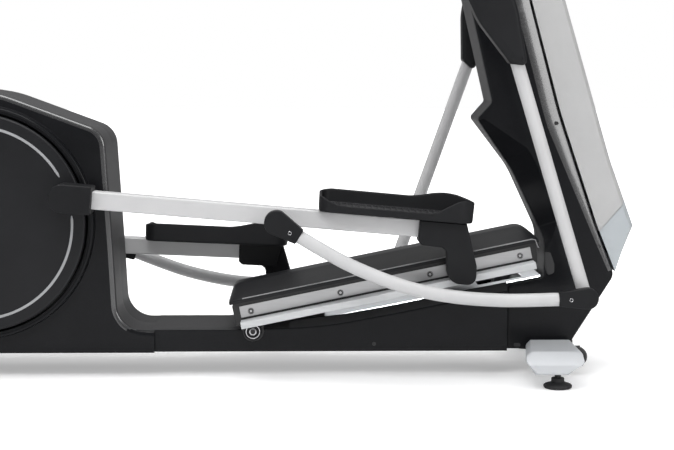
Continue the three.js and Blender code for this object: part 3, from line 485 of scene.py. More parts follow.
def disc_face(name, side):
    bm = bmesh.new()
    add_lathe(bm, [(0.01, 150), (0.01, DISC_FACE), (30, DISC_FACE), (275, DISC_FACE), (279, 157.6),
                   (281.6, 156.4), (283.2, 154.2), (DISC_RADIUS, 151), (DISC_RADIUS, 144.4), (276, 144.4),
                   (272, 150), (0.01, 150)], 0, CRANK_Z, 144, side)
    piece(f"disc_{name}", bm, (SATIN,), "crank", replaces=[f"crank_disc_{name}"], crease=32)
    # The painted ring on the disc stops either side of the crank pin, its tips drawn in.
    bm = bmesh.new()
    start = REST_ANGLE + (pi if side > 0 else 0) + RING_GAP
    span = 2 * (pi - RING_GAP)
    count = 150
    section = [(-3.4, 157.8), (-3.2, 158.45), (-2.4, 158.7), (2.4, 158.7), (3.2, 158.45), (3.4, 157.8)]
    rings = []
    for k in range(count + 1):
        a = start + span * k / count
        squeeze = RING_TIP if k in (0, count) else 1.0
        radii = [RING_RADIUS + offset * squeeze for offset, _ in section]
        rings.append([Vector((r * cos(a), side * y, CRANK_Z + r * sin(a)))
                      for r, (_, y) in zip(radii, section)])
    loft(bm, rings)
    piece(f"disc_ring_{name}", bm, (RING,), "crank", crease=50)


for name, side in SIDES:
    housing_half(name, side)
    disc_face(name, side)

# ---- base covers and ledge

BASE = rounded([(448, 65, 0), (1382, 65, 0), (1382, 225, 0), (1270, 203, 900), (1100, 168, 900),
                (932, 137, 900), (840, 128, 900), (640, 124, 0), (448, 124, 0)], 10)


def base_cover(name, side):
    """A side panel whose matte shoulder rises inwards from its upper edge to the deck."""
    bm = bmesh.new()
    top = [max(0.0, min(1.0, (p.y - 100) / 20)) for p in BASE]
    rise = [smooth(p.x, 640, 880) for p in BASE]

    def ring(y, up, inward=0.0):
        return [Vector((p.x, side * y, p.y + t * (up * r - inward))) for p, t, r in zip(BASE, top, rise)]
    rings = [ring(0.15, 20), ring(60, 20), ring(97, 20), ring(100, 19.4), ring(117, 2.2),
             ring(118.6, 0.6, 0.6), ring(119.6, 0, 1.8), ring(120, 0, 4)]
    loft(bm, rings, (1, 1, 1, 1, 1, 0, 0), start=False)
    for f in list(bm.faces):
        c = f.calc_center_median()
        under_ledge = c.x > 905 and c.z > 120
        end = abs(f.normal.z) < 0.999 and not 449 <= c.x <= 1380
        if abs(c.y) < 96 and (c.z < 75 or end or under_ledge):
            bm.faces.remove(f)
    piece(f"base_side_{name}", bm, (GLOSS, BAND), "frame", replaces=[f"base_cover_{name}"],
          wall=3, face_y=side, crease=30)
    bm = bmesh.new()
    # Access holes low on the panel: a round one in the middle and a slot near the mast.
    add_lathe(bm, [(0.01, 119), (5.2, 119), (5.2, 120.3), (4.4, 120.4), (0.01, 120.2)], 1031, 84, 32, side)
    outline = rounded([(1403, 71, 4), (1421, 71, 4), (1421, 81, 4), (1403, 81, 4)], 5)
    add_plate(bm, outline, side * 92, side * 95.4, 0.4)
    piece(f"panel_holes_{name}", bm, (DARK,), "frame")


for name, side in SIDES:
    base_cover(name, side)

LEDGE_START, LEDGE_RISE = (880, 144), atan(0.195)
LEDGE_LENGTH, LEDGE_HALF = 604, 96.6
bm = bmesh.new()
ledge_plan = rounded([(0, -LEDGE_HALF, 3), (LEDGE_LENGTH, -LEDGE_HALF, 12), (LEDGE_LENGTH, LEDGE_HALF, 12),
                      (0, LEDGE_HALF, 3)], 8)
window = rounded([(440, -56, 8), (560, -56, 8), (560, 56, 8), (440, 56, 8)], 6)
upper = [[Vector((p.x, p.y, z)) for p in inset(window, d)] for d, z in ((0, 0), (0, 2.4), (-0.6, 3))]
hole_rings = loft(bm, upper, start=False, end=False)
outer = [[Vector((p.x, p.y, z)) for p in inset(ledge_plan, d)]
         for d, z in ((0, 0), (0, 1.6), (0.5, 2.6), (1.6, 3))]
outer_rings = loft(bm, outer, start=False, end=True, holes=[hole_rings[-1]])
flat = [*outer_rings[0], *hole_rings[0]]
for tri in tessellate_polygon([[v.co for v in outer_rings[0]], [v.co for v in hole_rings[0]]]):
    bm.faces.new([flat[t] for t in tri])
ledge_board = piece("ledge", bm, (COVER_GREY,), "frame", place=at(*LEDGE_START, -LEDGE_RISE),
                    replaces=["base_ledge"])

# ---- mast covers and front shroud

MAST = rounded([(1180, 1385, 24), (1289, 928, 260), (1338, 718, 12), (1299, 675, 12), (1395, 543, 260),
                (1481, 362, 260), (1481, 300, 6), (1479, 256, 8), (1384, 237, 14), (1384, 65, 0),
                (1544, 65, 22), (1668, 262, 30), (1615, 396, 0), (1515, 690, 900), (1440, 968, 900),
                (1338, 1385, 24)], 12)

MAST_FLOOR = 66


def mast_half(name, side):
    """The side faces slope in to a narrow rear edge below the notch, and roll off towards the front."""
    front, wedge = [], []
    for p in MAST:
        edge = along([(70, 1500), (262, 1600), (396, 1590), (690, 1480), (968, 1400), (1385, 1280)], p.y)
        front.append(smooth(p.y, 330, 560) if p.x > edge else 0.0)
        rear = p.x < edge and 330 < p.y < 700
        wedge.append(smooth(p.y, 330, 420) * (1 - smooth(p.y, 640, 672)) if rear else 0.0)

    def ring(flat_in, flat_y, front_in, front_y, wedge_in, wedge_y):
        distances = [flat_in + (front_in - flat_in) * f + (wedge_in - flat_in) * w
                     for f, w in zip(front, wedge)]
        return [Vector((p.x, side * (flat_y + (front_y - flat_y) * f + (wedge_y - flat_y) * w), p.y))
                for p, f, w in zip(inset(MAST, distances), front, wedge)]
    bm = bmesh.new()
    rings = [ring(0, 0.15, 0, 0.15, 0, 0.15), ring(0, 60, 0, 60, 0, 24), ring(0, 88, 0, 80, 0, 40),
             ring(0.6, 91.4, 0.5, 84.5, 0.8, 42.4), ring(2.2, 93.6, 1.5, 87, 2.6, 44.6),
             ring(4.6, 94.7, 3, 88.4, 6, 47.6), ring(8, 95, 18, 92.2, 26, 63), ring(12, 95, 40, 95, 62, 95)]
    loft(bm, rings, (1, 1, 1, 1, 0, 0, 0), start=False)
    # The upper front roll-off takes the lighter, shinier copy of the gloss black: painted highlight.
    for f in bm.faces:
        middle = f.calc_center_median()
        edge = along([(262, 1640), (396, 1580), (690, 1480), (968, 1405), (1385, 1300)], middle.z)
        if middle.x > edge - 6 and middle.z > 300 and 86 < abs(middle.y) < 94.9:
            f.material_index = 2
    slice_off(bm, (0, 0, MAST_FLOOR), (0, 0, -1))
    piece(f"mast_{name}", bm, (GLOSS, BAND, GLOSS_HIGHLIGHT), "frame", replaces=[f"mast_cover_{name}"],
          wall=3.5, face_y=side, crease=28)
    bm = bmesh.new()
    # Two screw holes near the front edge, and the plate that guides the ramp's front end.
    for x, z in ((1509, 663), (1625, 338)):
        add_lathe(bm, [(0.01, 90), (5, 90), (5, 94.8), (4.2, 95.1), (0.01, 94.4)], x, z, 32, side)
    piece(f"mast_holes_{name}", bm, (DARK,), "frame")
    bm = bmesh.new()
    guide = rounded([(1481, 324, 3), (1483, 287, 4), (1490, 262, 6), (1508, 268, 10), (1508, 292, 16),
                     (1497, 323, 5)], 6)
    add_plate(bm, guide, side * 94, side * 99, 1.5)
    piece(f"ramp_guide_{name}", bm, (BAND,), "frame")


for name, side in SIDES:
    mast_half(name, side)

SHROUD = rounded([(1670, 272, 0), (1725, 389, 10), (1660, 566, 500), (1535, 985, 900), (1418, 1392, 24),
                  (1341, 1386, 0), (1444, 968, 900), (1520, 690, 900), (1619, 398, 0)], 14)
SEAM, ACROSS = Vector((1622.7, 373.8)), Vector((-0.757, 0.653))


def clipped(points, origin, outward):
    """The part of an outline that lies behind a line."""
    kept = []
    for here, ahead in zip(points, points[1:] + points[:1]):
        a, b = (here - origin).dot(outward), (ahead - origin).dot(outward)
        if a <= 0:
            kept.append(here)
        if (a < 0 < b) or (b < 0 < a):
            kept.append(here + (ahead - here) * (a / (a - b)))
    return kept


def shroud_part(name, origin, outward, material, replaced=()):
    """One panel of the silver nose: its front edge rolls over towards both sides, and its back is open."""
    depths = (0, 30, 50, 64, 74, 81, 86, 89.4, 91.4, 92)
    nose = [(272, 1690), (398, 1685), (690, 1585), (968, 1515), (1392, 1395)]
    front = [smooth(p.x - along(nose, p.y), 0, 12) for p in SHROUD]
    rings = []
    for y in [-y for y in reversed(depths[1:])] + list(depths):
        pulled = [f * max(0.0, (abs(y) - 30) / 62) ** 2.2 * 17 for f in front]
        rings.append(flat_ring(clipped(inset(SHROUD, pulled), origin, outward), y))
    bm = bmesh.new()
    loft(bm, rings)
    bmesh.ops.recalc_face_normals(bm, faces=bm.faces)
    rear = [f for f in bm.faces
            if abs(f.normal.y) < 0.3 and f.normal.x < -0.5 and f.calc_center_median().z > 275
            and abs(f.normal.dot(Vector((ACROSS.x, 0, ACROSS.y)))) < 0.97]
    bmesh.ops.delete(bm, geom=rear, context="FACES")
    piece(name, bm, (material,), "frame", replaces=replaced, wall=3, face_y=-1, crease=30)


shroud_part("shroud_upper", SEAM - ACROSS * 0.5, ACROSS * -1, PANEL, ["front_shroud"])
shroud_part("shroud_lower", SEAM + ACROSS * 0.5, ACROSS, PANEL_COOL)

# ---- incline ramp

RAMP_REAR, RAMP_FRONT = -45, 775
RIDGE, SKIRT, SIDE_LOW = 59, 21, -38


def ramp_cover():
    """The black cover over both tracks: flat ridge, sloping sides and a rolled lip, round at both ends."""
    section = [(156, SKIRT), (156, 29), (155.2, 30.7), (153, 31.8), (150.5, 32), (149, 32.6), (120, 38.8),
               (80, 47.4), (46, 54.8), (38, 57.4), (30, 58.7), (20, RIDGE), (0, RIDGE)]
    half = [Vector((y, z)) for y, z in section]
    profile = [*half, *[Vector((-p.x, p.y)) for p in reversed(half[:-1])]]
    stations = []
    for k in range(11):
        a = pi / 2 * k / 10
        stations.append((RAMP_REAR + 30 * (1 - cos(a)), 38 * (1 - sin(a))))
    stations.extend((x, 0) for x in (100, 300, 500, 650))
    for k in range(11):
        a = pi / 2 * k / 10
        stations.append((RAMP_FRONT - 44 * (1 - sin(a)), 38 * (1 - cos(a))))
    bm = bmesh.new()

    def lowered(z, drop):
        return SKIRT + (z - SKIRT) * max(0.02, 1 - drop / 38 * min(1, (z - SKIRT) / 38))
    rows = [[bm.verts.new((x, p.x, lowered(p.y, drop))) for p in profile] for x, drop in stations]
    for a, b in zip(rows, rows[1:]):
        for i in range(len(profile) - 1):
            bm.faces.new((a[i], b[i], b[i + 1], a[i + 1]))
    for row in (rows[0], rows[-1]):
        try:
            bm.faces.new(row)
        except ValueError:
            pass
    piece("ramp_top", bm, (SATIN,), "ramp", place=RAMP, replaces=["ramp_cover"], wall=2.5,
          crease=34)
    bm = bmesh.new()
    # A thin light-grey tube runs along the lip and turns down at the front: a painted highlight on the rolled
    # lip.
    for side in (-1, 1):
        path = [Vector((RAMP_REAR + 36, side * 155.2, 31.2)), Vector((300, side * 155.2, 31.2)),
                Vector((RAMP_FRONT - 16, side * 155.2, 31.2)), Vector((RAMP_FRONT - 8, side * 155.2, 28)),
                Vector((RAMP_FRONT - 4, side * 155.2, 6))]
        add_tube(bm, path, 1.6, 10, 0.6)
    piece("ramp_lip_highlight", bm, (LIP_HIGHLIGHT,), "ramp", place=RAMP)


ramp_cover()
bm = bmesh.new()
for _, side in SIDES:
    outline = rounded([(RAMP_REAR + 5, SIDE_LOW, 6), (-26, SIDE_LOW, 4), (-26, -PATH - 26, 25.5),
                       (26, -PATH - 26, 25.5), (31, SIDE_LOW, 14), (RAMP_FRONT - 12, SIDE_LOW, 6),
                       (RAMP_FRONT - 6, SKIRT - 0.3, 2), (RAMP_REAR + 5, SKIRT - 0.3, 8)], 8)
    add_plate(bm, outline, side * 130, side * 146, 1.2)
for x in (70, 390, 700):
    add_lathe(bm, [(0.01, -131), (14, -131), (14, 131), (0.01, 131)], x, 0, 40)
piece("ramp_sides", bm, (DARK,), "ramp", place=RAMP, replaces=["ramp_frame"])

for name, side in SIDES:
    bm = bmesh.new()
    add_block(bm, -24, 752, side * 146.3, side * 198, -41, -24.4, 1.6, 1.2)
    add_block(bm, -24, 752, side * 150, side * 196, -24.9, -24.0, 0.4, 0.2)
    piece(f"rail_{name}", bm, (RAIL,), "ramp", place=RAMP, replaces=[f"ramp_rail_{name}"])
    bm = bmesh.new()
    add_block(bm, -22, 751, side * 146.3, side * 148.3, -19, 11.5, 1.0, 0.5)
    for x in (6, 244, 482, 721):
        add_lathe(bm, [(0.01, 147.6), (8.2, 147.6), (8.2, 148.9), (7.2, 149.3), (6.4, 149.0), (4.0, 148.8),
                       (3.4, 148.2), (0.01, 148.0)], x, -6, 40, side, (1, 1, 1, 0, 1, 1, 1))
    piece(f"strip_{name}", bm, (STAINLESS, DARK), "ramp", place=RAMP,
          replaces=[f"running_strip_{name}"], crease=30)
    # Pivot bolt: a dark washer with a bright ring and a socket head.
    bm = bmesh.new()
    add_lathe(bm, [(19, 146.4), (24, 146.4), (24, 150), (23, 151.6), (18.8, 152.2), (18.6, 153), (16.6, 153),
                   (16.4, 152.2), (10, 152.2), (9.4, 154.4), (6.5, 155), (6, 152.6), (0.01, 152.4)],
              RAMP_X, RAMP_Z, 56, side, (0, 0, 0, 0, 1, 1, 0, 0, 0, 1, 2, 2))
    piece(f"pivot_bolt_{name}", bm, (MATTE, BRIGHT, DARK), "frame", crease=30)

# ---- stabilizers, feet and wheels

def centre_of(name):
    """The middle of a CAD piece: x from the crank axis, y and z, in millimetres."""
    low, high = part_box(name)
    return (low + high) * 500 - Vector((CRANK.x, 0, 0))


FOOT_Y = 285
STAB_X, REAR_X = (centre_of(f"levelling_foot_{end}_right").x for end in ("front", "rear"))
STAB_SECTION = rounded([(1428, 38, 9), (1512, 38, 9), (1554, 70, 12), (1550, 94, 9), (1420, 94, 9),
                        (1401, 80, 12)], 6)


def stabilizer_cover(name, side):
    """A light shell, flat on top, that falls away to a low end face; its rear edge runs in to the mast."""
    def ring(y, top, shrink):
        run_in = 26 * (1 - min(1.0, (y - 122) / 180))
        moved = []
        for p in inset(STAB_SECTION, shrink):
            x = p.x + run_in * max(0.0, min(1.0, (1490 - p.x) / 80))
            moved.append(Vector((x, side * y, min(p.y, top))))
        return moved
    bm = bmesh.new()
    loft(bm, [ring(y, top, shrink) for y, top, shrink in (
        (122, 94, 0), (180, 94, 0), (240, 94, 0), (286, 94, 0), (290, 93, 0.1), (298, 88.2, 0.3),
                                                          (306, 82.4, 0.6),
        (314, 76.4, 1.0), (318.4, 72.8, 1.6), (321.6, 70, 2.6), (324, 67.6, 4.2), (325.4, 65.8, 6),
                                                          (326, 64, 8))],
         start=False)
    piece(f"stabilizer_shell_{name}", bm, (COVER_GREY,), "frame", wall=3, face_y=side,
          replaces=[f"front_stabilizer_cover_{name}"], crease=40)


def levelling_foot(name, x, side, end):
    """A ribbed pad on a threaded stem."""
    bm = bmesh.new()
    profile = [(0.01, 0), (31, 0), (33.6, 0.6), (35.2, 2.2), (36, 4.6), (36, 7.6), (34.8, 9.6), (31, 11.2),
               (22, 14.2), (18, 15.8), (16.8, 17.4), (16.4, 20), (16.4, 25.4), (15.6, 26.4), (8.2, 26.6),
               (8, 28), (8, 43.4), (0.01, 43.4)]
    segments, rib_depth = 60, 1.5
    rings = []
    for k, (radius, z) in enumerate(profile):
        ring = []
        for i in range(segments):
            a = 2 * pi * i / segments
            r = radius - (rib_depth if 2 <= k <= 7 and i % 5 in (0, 1) else 0)
            ring.append(Vector((r * cos(a), r * sin(a), z)))
        rings.append(ring)
    loft(bm, rings, start=False, end=True)
    piece(f"foot_pad_{end}_{name}", bm, (RUBBER,), f"foot_{end}_{name}",
          place=at(x, 0) @ Matrix.Translation((0, side * FOOT_Y, 0)), crease=36,
          replaces=[f"levelling_foot_{end}_{name}"])


def transport_wheel(name):
    x, y, z = centre_of(f"transport_wheel_{name}")
    bm = bmesh.new()
    profile = [(6.4, -9), (12, -9), (13, -8), (18, -8), (19, -10.6), (22, -11), (24.4, -10), (25.8, -7.5),
               (26, 0), (25.8, 7.5), (24.4, 10), (22, 11), (19, 10.6), (18, 8), (13, 8), (12, 9), (6.4, 9),
               (6.4, -9)]
    add_lathe(bm, [(r, y + h) for r, h in profile], x, z, 64)
    piece(f"wheel_tyre_{name}", bm, (TYRE,), f"wheel_{name}", crease=34,
          replaces=[f"transport_wheel_{name}"])


for name, side in SIDES:
    stabilizer_cover(name, side)
    levelling_foot(name, STAB_X, side, "front")
    levelling_foot(name, REAR_X, side, "rear")
    transport_wheel(name)
    bm = bmesh.new()
    z0, z1 = (corner.z * 1000 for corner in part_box("rear_stabilizer"))
    end_cap = rounded([(REAR_X - 33, z0 - 3, 8), (REAR_X + 33, z0 - 3, 8), (REAR_X + 33, z1 + 3, 8),
                       (REAR_X - 33, z1 + 3, 8)], 6)
    add_plate(bm, end_cap, side * 299.5, side * 312, 3)
    piece(f"rear_cap_{name}", bm, (MATTE,), "frame")

# ---- pedal arms


def pedal_arm(name, side):
    bm = bmesh.new()
    y0, y1 = sorted((side * 177, side * 225))
    section = rounded([(y0, -23, 5), (y1, -23, 5), (y1, 23, 5), (y0, 23, 5)], 6)
    loft(bm, [[Vector((x, p.x, p.y)) for p in section] for x in (-28, 903.5)])
    add_lathe(bm, [(0.01, 159.5), (31, 159.5), (33, 160.4), (34, 162.5), (34, 178), (0.01, 178)], 0, 0, 72,
              side)
    add_lathe(bm, [(0.01, 224), (19, 224), (19, 268), (0.01, 268)], LINK_ALONG, -LINK_BELOW, 48, side)
    piece(f"arm_tube_{name}", bm, (SILVER,), f"arm_{name}", place=arm_place(side),
          replaces=[f"pedal_arm_{name}"], crease=44)
    bm = bmesh.new()
    outline = rounded([(-36, -36, 35.8), (72, -36, 5), (72, 36, 5), (-36, 36, 35.8)], 20)
    add_plate(bm, outline, side * 171, side * 250, 3.2, 5)
    piece(f"arm_cap_{name}", bm, (MATTE,), f"arm_{name}", place=arm_place(side),
          replaces=[f"arm_end_cap_{name}"], crease=50)
    bm = bmesh.new()
    bottom = -ROLLER_DROP - 37
    leg = rounded([(904, 22.6, 2), (904, -32, 4), (914, -41, 8), (966, -43, 6), (979, -52, 14),
                   (988, bottom, 36), (1061.5, bottom, 36), (1059, -84, 34), (1024, 22.6, 2)], 12)
    add_plate(bm, leg, side * 200, side * 240, 3, 5)
    block = rounded([(904, 22.6, 2), (904, -32, 4), (914, -41, 8), (1008, -42, 2), (1024, 22.6, 2)], 6)
    add_plate(bm, block, side * 176, side * 203, 1.5)
    piece(f"bracket_{name}", bm, (MATTE,), f"arm_{name}", place=arm_place(side),
          replaces=[f"roller_bracket_{name}"], crease=44)


PEDAL_REAR, PEDAL_FRONT, PEDAL_INNER, PEDAL_OUTER, PEDAL_BOTTOM = 645, 1040, 100, 262, 23.4
PEDAL_FLOOR = 38
TALL_RIM = [(640, 67), (655, 71), (676, 74), (885, 73), (915, 78), (947, 86), (975, 88), (1000, 86),
            (1040, 76)]
LOW_RIM = [(640, 64), (652, 62), (668, 54), (690, 45), (720, 43), (925, 43), (945, 47), (975, 66),
           (992, 76), (1010, 82), (1025, 84), (1040, 78)]


def pedal_tray(name, side):
    """A tray with a tall inner wall, a low outer rim that rises round the toe, and bars across its floor."""
    def plan(shrink, radius):
        corners = [(PEDAL_REAR + shrink, PEDAL_INNER + shrink, max(4, radius - shrink)),
                   (PEDAL_FRONT - shrink, PEDAL_INNER + shrink, max(4, radius + 6 - shrink)),
                   (PEDAL_FRONT - shrink, PEDAL_OUTER - shrink, max(4, radius + 14 - shrink)),
                   (PEDAL_REAR + shrink, PEDAL_OUTER - shrink, max(4, radius - shrink))]
        corner_points = rounded(corners, 12)
        filled = []
        for p, q in zip(corner_points, corner_points[1:] + corner_points[:1]):
            parts = max(1, round((q - p).length / 16))
            filled.extend(p + (q - p) * (k / parts) for k in range(parts))
        return filled
    base = plan(0, 30)

    def height(p):
        blend = smooth(p.y, 132, 214)
        return along(TALL_RIM, p.x) * (1 - blend) + along(LOW_RIM, p.x) * blend
    heights = [height(p) for p in base]

    def ring(shrink, level=None, below=0.0):
        moved = inset(base, shrink)
        return [Vector((p.x, side * p.y, level if level is not None else h - below))
                for p, h in zip(moved, heights)]
    rings = [ring(shrink, PEDAL_BOTTOM + up) for shrink, up in ((9, 0), (3.4, 0.6), (1.2, 3), (0.6, 8))]
    rings.extend(ring(shrink, None, below) for shrink, below in (
        (0, 5), (0.3, 2.2), (1.4, 0.6), (3.2, 0), (5, 0.6), (6.3, 2.4), (7.2, 5)))
    # The fillet at the foot of the walls stays below a low rim.
    for shrink, up, below in ((9.5, 4, 5.4), (11.2, 1.4, 6.6)):
        rings.append([Vector((v.x, v.y, min(v.z, h - below)))
                      for v, h in zip(ring(shrink, PEDAL_FLOOR + up), heights)])
    rings.append(ring(14, PEDAL_FLOOR))
    bm = bmesh.new()
    loft(bm, rings, (0,) * 13 + (1,))
    # The tread: rounded bars across the floor between two long beads.
    for k in range(19):
        x = 683 + k * 16.2
        bar = rounded([(x, PEDAL_FLOOR - 1, 0), (x + 7.2, PEDAL_FLOOR - 1, 0),
                       (x + 5.8, PEDAL_FLOOR + 2.8, 1.4), (x + 1.4, PEDAL_FLOOR + 2.8, 1.4)], 3)
        add_plate(bm, bar, side * 128, side * 236, 1.0, 2, 1)
    for y in (121, 243):
        bead = rounded([(672, PEDAL_FLOOR - 1, 0), (1000, PEDAL_FLOOR - 1, 0), (996, PEDAL_FLOOR + 2.4, 2),
                        (676, PEDAL_FLOOR + 2.4, 2)], 3)
        add_plate(bm, bead, side * (y - 1.8), side * (y + 1.8), 0.7, 2, 1)
    piece(f"pedal_tray_{name}", bm, (MATTE, TREAD), f"arm_{name}", place=arm_place(side),
          replaces=[f"pedal_{name}"], crease=42)


ROLLER_Y = 179
for name, side in SIDES:
    pedal_arm(name, side)
    pedal_tray(name, side)
    # Rollers, turning on the axles kept from the CAD.
    bm = bmesh.new()
    profile = [(8.3, -16), (13, -16), (14, -13.5), (19, -13.5), (20, -16), (22, -16), (24, -13.5),
               (24, 13.5), (22, 16), (20, 16), (19, 13.5), (14, 13.5), (13, 16), (8.3, 16), (8.3, -16)]
    add_lathe(bm, [(r, side * ROLLER_Y + h) for r, h in profile], ARM_LENGTH, -ROLLER_DROP, 72)
    piece(f"roller_wheel_{name}", bm, (TYRE,), f"roller_{name}", place=arm_place(side),
          replaces=[f"roller_{name}"], crease=30)

# ---- links and handlebars


def cap_outline(radius, end_x, end_z, end_half):
    """A cap round about its pivot that tapers to a sleeve end."""
    heading = atan2(end_z, end_x)
    wrap = 1.62
    points = []
    for i in range(37):
        a = heading + wrap + (2 * pi - 2 * wrap) * i / 36
        points.append(Vector((radius * cos(a), radius * sin(a))))
    across = Vector((-sin(heading) * end_half, cos(heading) * end_half))
    end = Vector((end_x, end_z))
    corner = 3.5
    toward = end.normalized()
    sideways = across.normalized()
    fillet = [(corner * (1 - sin(a)), corner * (1 - cos(a)))
              for a in (pi / 2 * k / 4 for k in range(5))]
    points.extend(end - across - toward * back + sideways * inward for back, inward in fillet)
    points.extend(end + across - toward * back - sideways * inward for inward, back in fillet)
    return points


TUBE_RADIUS, LINK_Y, HANDLE_Y = 17, 288, 262


def link_bar(name, side):
    sag = [(34, -11), (120, -38), (215, -63), (340, -80), (450, -79), (590, -58), (752, -16)]
    bm = bmesh.new()
    add_tube(bm, catmull([Vector((x, side * LINK_Y, z)) for x, z in sag], 12), TUBE_RADIUS, 48, 2)
    piece(f"link_tube_{name}", bm, (SILVER,), f"link_{name}", place=link_place(side),
          replaces=[f"link_bar_{name}"])
    bm = bmesh.new()
    rear = cap_outline(31, 64, -21, 20.5)
    add_plate(bm, rear, side * 270, side * 307, 3.2, 5)
    front = [Vector((p.x + LINK_LENGTH, p.y)) for p in cap_outline(27, -70, -18.8, 18.5)]
    add_plate(bm, front, side * 281, side * 307, 3.2, 5)
    for x, z in ((38.3, -16), (LINK_LENGTH - 40.6, -13)):
        add_lathe(bm, [(0.01, 306), (4.6, 306), (4.6, 307.3), (3.9, 307.7), (3.2, 307.3), (2.8, 306.6),
                       (0.01, 306.6)], x, z, 32, side, (0, 1, 1, 1, 2, 2))
    piece(f"link_caps_{name}", bm, (MATTE, BRIGHT, DARK), f"link_{name}",
          place=link_place(side), crease=50)


UPPER = [(0, 20, HANDLE_Y), (-10, 120, HANDLE_Y), (-48, 250, 266), (-92, 370, 273), (-136, 490, 280),
         (-154, 540, 283)]


def handlebar(name, side):
    place = handle_place(side)
    bm = bmesh.new()
    lower = [Vector((0, side * HANDLE_Y, z)) for z in (8 - HANDLE_RADIUS, -500, -250, -100)]
    add_tube(bm, lower, TUBE_RADIUS, 48, 1)
    add_lathe(bm, [(0.01, 246), (19, 246), (19, 279.4), (0.01, 279.4)], 0, -HANDLE_RADIUS, 48, side)
    upper = catmull([Vector((x, side * w, z)) for x, z, w in UPPER], 10)
    add_tube(bm, upper, TUBE_RADIUS, 48, 3)
    piece(f"handle_tube_{name}", bm, (SILVER,), f"handle_{name}", place=place,
          replaces=[f"handlebar_{name}"], crease=44)
    bm = bmesh.new()
    outline = rounded([(-20, -107, 13), (19, -124, 13), (24, -97, 60), (37, 16, 200), (34, 120, 80),
                       (-6, 226, 16), (-66, 226, 16), (-82, 120, 120), (-66, 15, 200)], 10)
    half = [(12, 0), (6.5, 1.2), (2.4, 3.8), (0.6, 7.4), (0, 12)]
    rings = [flat_ring(inset(outline, d), side * (232 + h)) for d, h in half]
    # Outside, the lower rear edge carries a wider ridge.
    ridge = [smooth(-p.x, -24, 20) * (1 - smooth(p.y, 60, 160)) for p in outline]
    for d, h, wide in ((0, 12, 0), (0.6, 7.4, 1), (2.4, 3.8, 5), (6.5, 1.2, 9), (12, 0, 14)):
        rings.append(flat_ring(inset(outline, [d + wide * r * 0.6 for r in ridge]), side * (296 - h)))
    loft(bm, rings)
    piece(f"shroud_{name}", bm, (MATTE,), f"handle_{name}", place=place,
          replaces=[f"handle_shroud_{name}"], crease=50)
    # A ribbed sleeve over the upper end, closed by a domed cap.
    path = catmull([Vector((x, side * w, z)) for x, z, w in UPPER[3:]], 26)
    bm = bmesh.new()
    tangents = path_tangents(path)
    rings = []
    last = len(path) - 1
    for i, (here, tangent) in enumerate(zip(path, tangents)):
        out = tangent.cross(Vector((0, 1, 0))).normalized()
        r = 20.9 - (0.7 if i % 4 == 0 else 0.0)
        if i < 2 or i > last - 2:
            r = 21.4 if i in (1, last - 1) else 20
        rings.append(hoop(here, out, tangent.cross(out), r, 48))
    tip = tangents[-1]
    out = tip.cross(Vector((0, 1, 0))).normalized()
    for k in range(1, 4):
        a = pi / 2 * k / 4
        rings.append(hoop(path[-1] + tip * (3 * sin(a)), out, tip.cross(out), 20 * cos(a), 48))
    loft(bm, rings)
    piece(f"grip_{name}", bm, (GRIP,), f"handle_{name}", place=place, crease=60,
          replaces=[f"handle_grip_{name}"])


for name, side in SIDES:
    link_bar(name, side)
    handlebar(name, side)

# ---- console and fixed handlebar

CONSOLE = MACHINE @ Matrix.Translation((1180, 0, 1556)) @ Matrix.Rotation(radians(-65), 4, "Y")


def slab_rings(outline, levels):
    return [[Vector((p.x, p.y, z)) for p in inset(outline, d)] for d, z in levels]


bm = bmesh.new()
panel = rounded([(-155, -215, 36), (155, -215, 36), (155, 215, 36), (-155, 215, 36)], 12)
loft(bm, slab_rings(panel, [(14, -24), (6, -22.6), (1.6, -19), (0, -13), (0, 14), (0.8, 19), (3, 22.4),
                            (7, 24), (22, 24), (23.5, 22.6), (24, 20.5)]))
neck = rounded([(1196, 1387, 3), (1292, 1387, 3), (1270, 1500, 80), (1222, 1600, 12), (1180, 1540, 4),
                (1160, 1470, 40)], 10)
shell = [[CONSOLE.inverted() @ (MACHINE @ v) for v in ring] for ring in soft_rings(neck, -55, 55, 9)]
loft(bm, shell)
piece("console_shell", bm, (MATTE,), "frame", place=CONSOLE, replaces=["console_body"],
      crease=40)
bm = bmesh.new()
glass = rounded([(-131, -191, 14), (131, -191, 14), (131, 191, 14), (-131, 191, 14)], 8)
loft(bm, slab_rings(glass, [(0, 19), (0, 21.4), (0.5, 22), (1.4, 22.2)]))
display = rounded([(-95, -160, 8), (95, -160, 8), (95, 160, 8), (-95, 160, 8)], 8)
loft(bm, slab_rings(display, [(0, 22), (0, 24.6), (0.6, 25.2), (1.6, 25.4)]))
piece("console_glass", bm, (GLASS,), "frame", place=CONSOLE, replaces=["console_screen"])

bm = bmesh.new()
reach = [(930, -195, 1322), (1010, -198, 1302), (1090, -180, 1288), (1140, -100, 1284), (1150, 0, 1284)]
bar = [Vector(p) for p in reach] + [Vector((x, -y, z)) for x, y, z in reversed(reach[:-1])]
bar_path = catmull(bar, 12)
add_tube(bm, bar_path, 15, 40, 3)
add_block(bm, 1148, 1186, -26, 26, 1264, 1304, 8, 3)
piece("front_bar", bm, (STEEL,), "frame", replaces=["fixed_handlebar"])
GRIP_STEPS = 26
for name, side in SIDES:
    points = (bar_path if side < 0 else bar_path[::-1])[:GRIP_STEPS]
    rings = []
    for i, (here, tangent) in enumerate(zip(points, path_tangents(points))):
        out = tangent.cross(UP).normalized()
        rings.append(hoop(here, out, tangent.cross(out), 17.6 if i in (0, GRIP_STEPS - 1) else 18.8, 40))
    bm = bmesh.new()
    loft(bm, rings)
    piece(f"bar_grip_{name}", bm, (GRIP,), "frame", crease=60)

# ---- finishes of the CAD pieces that stay

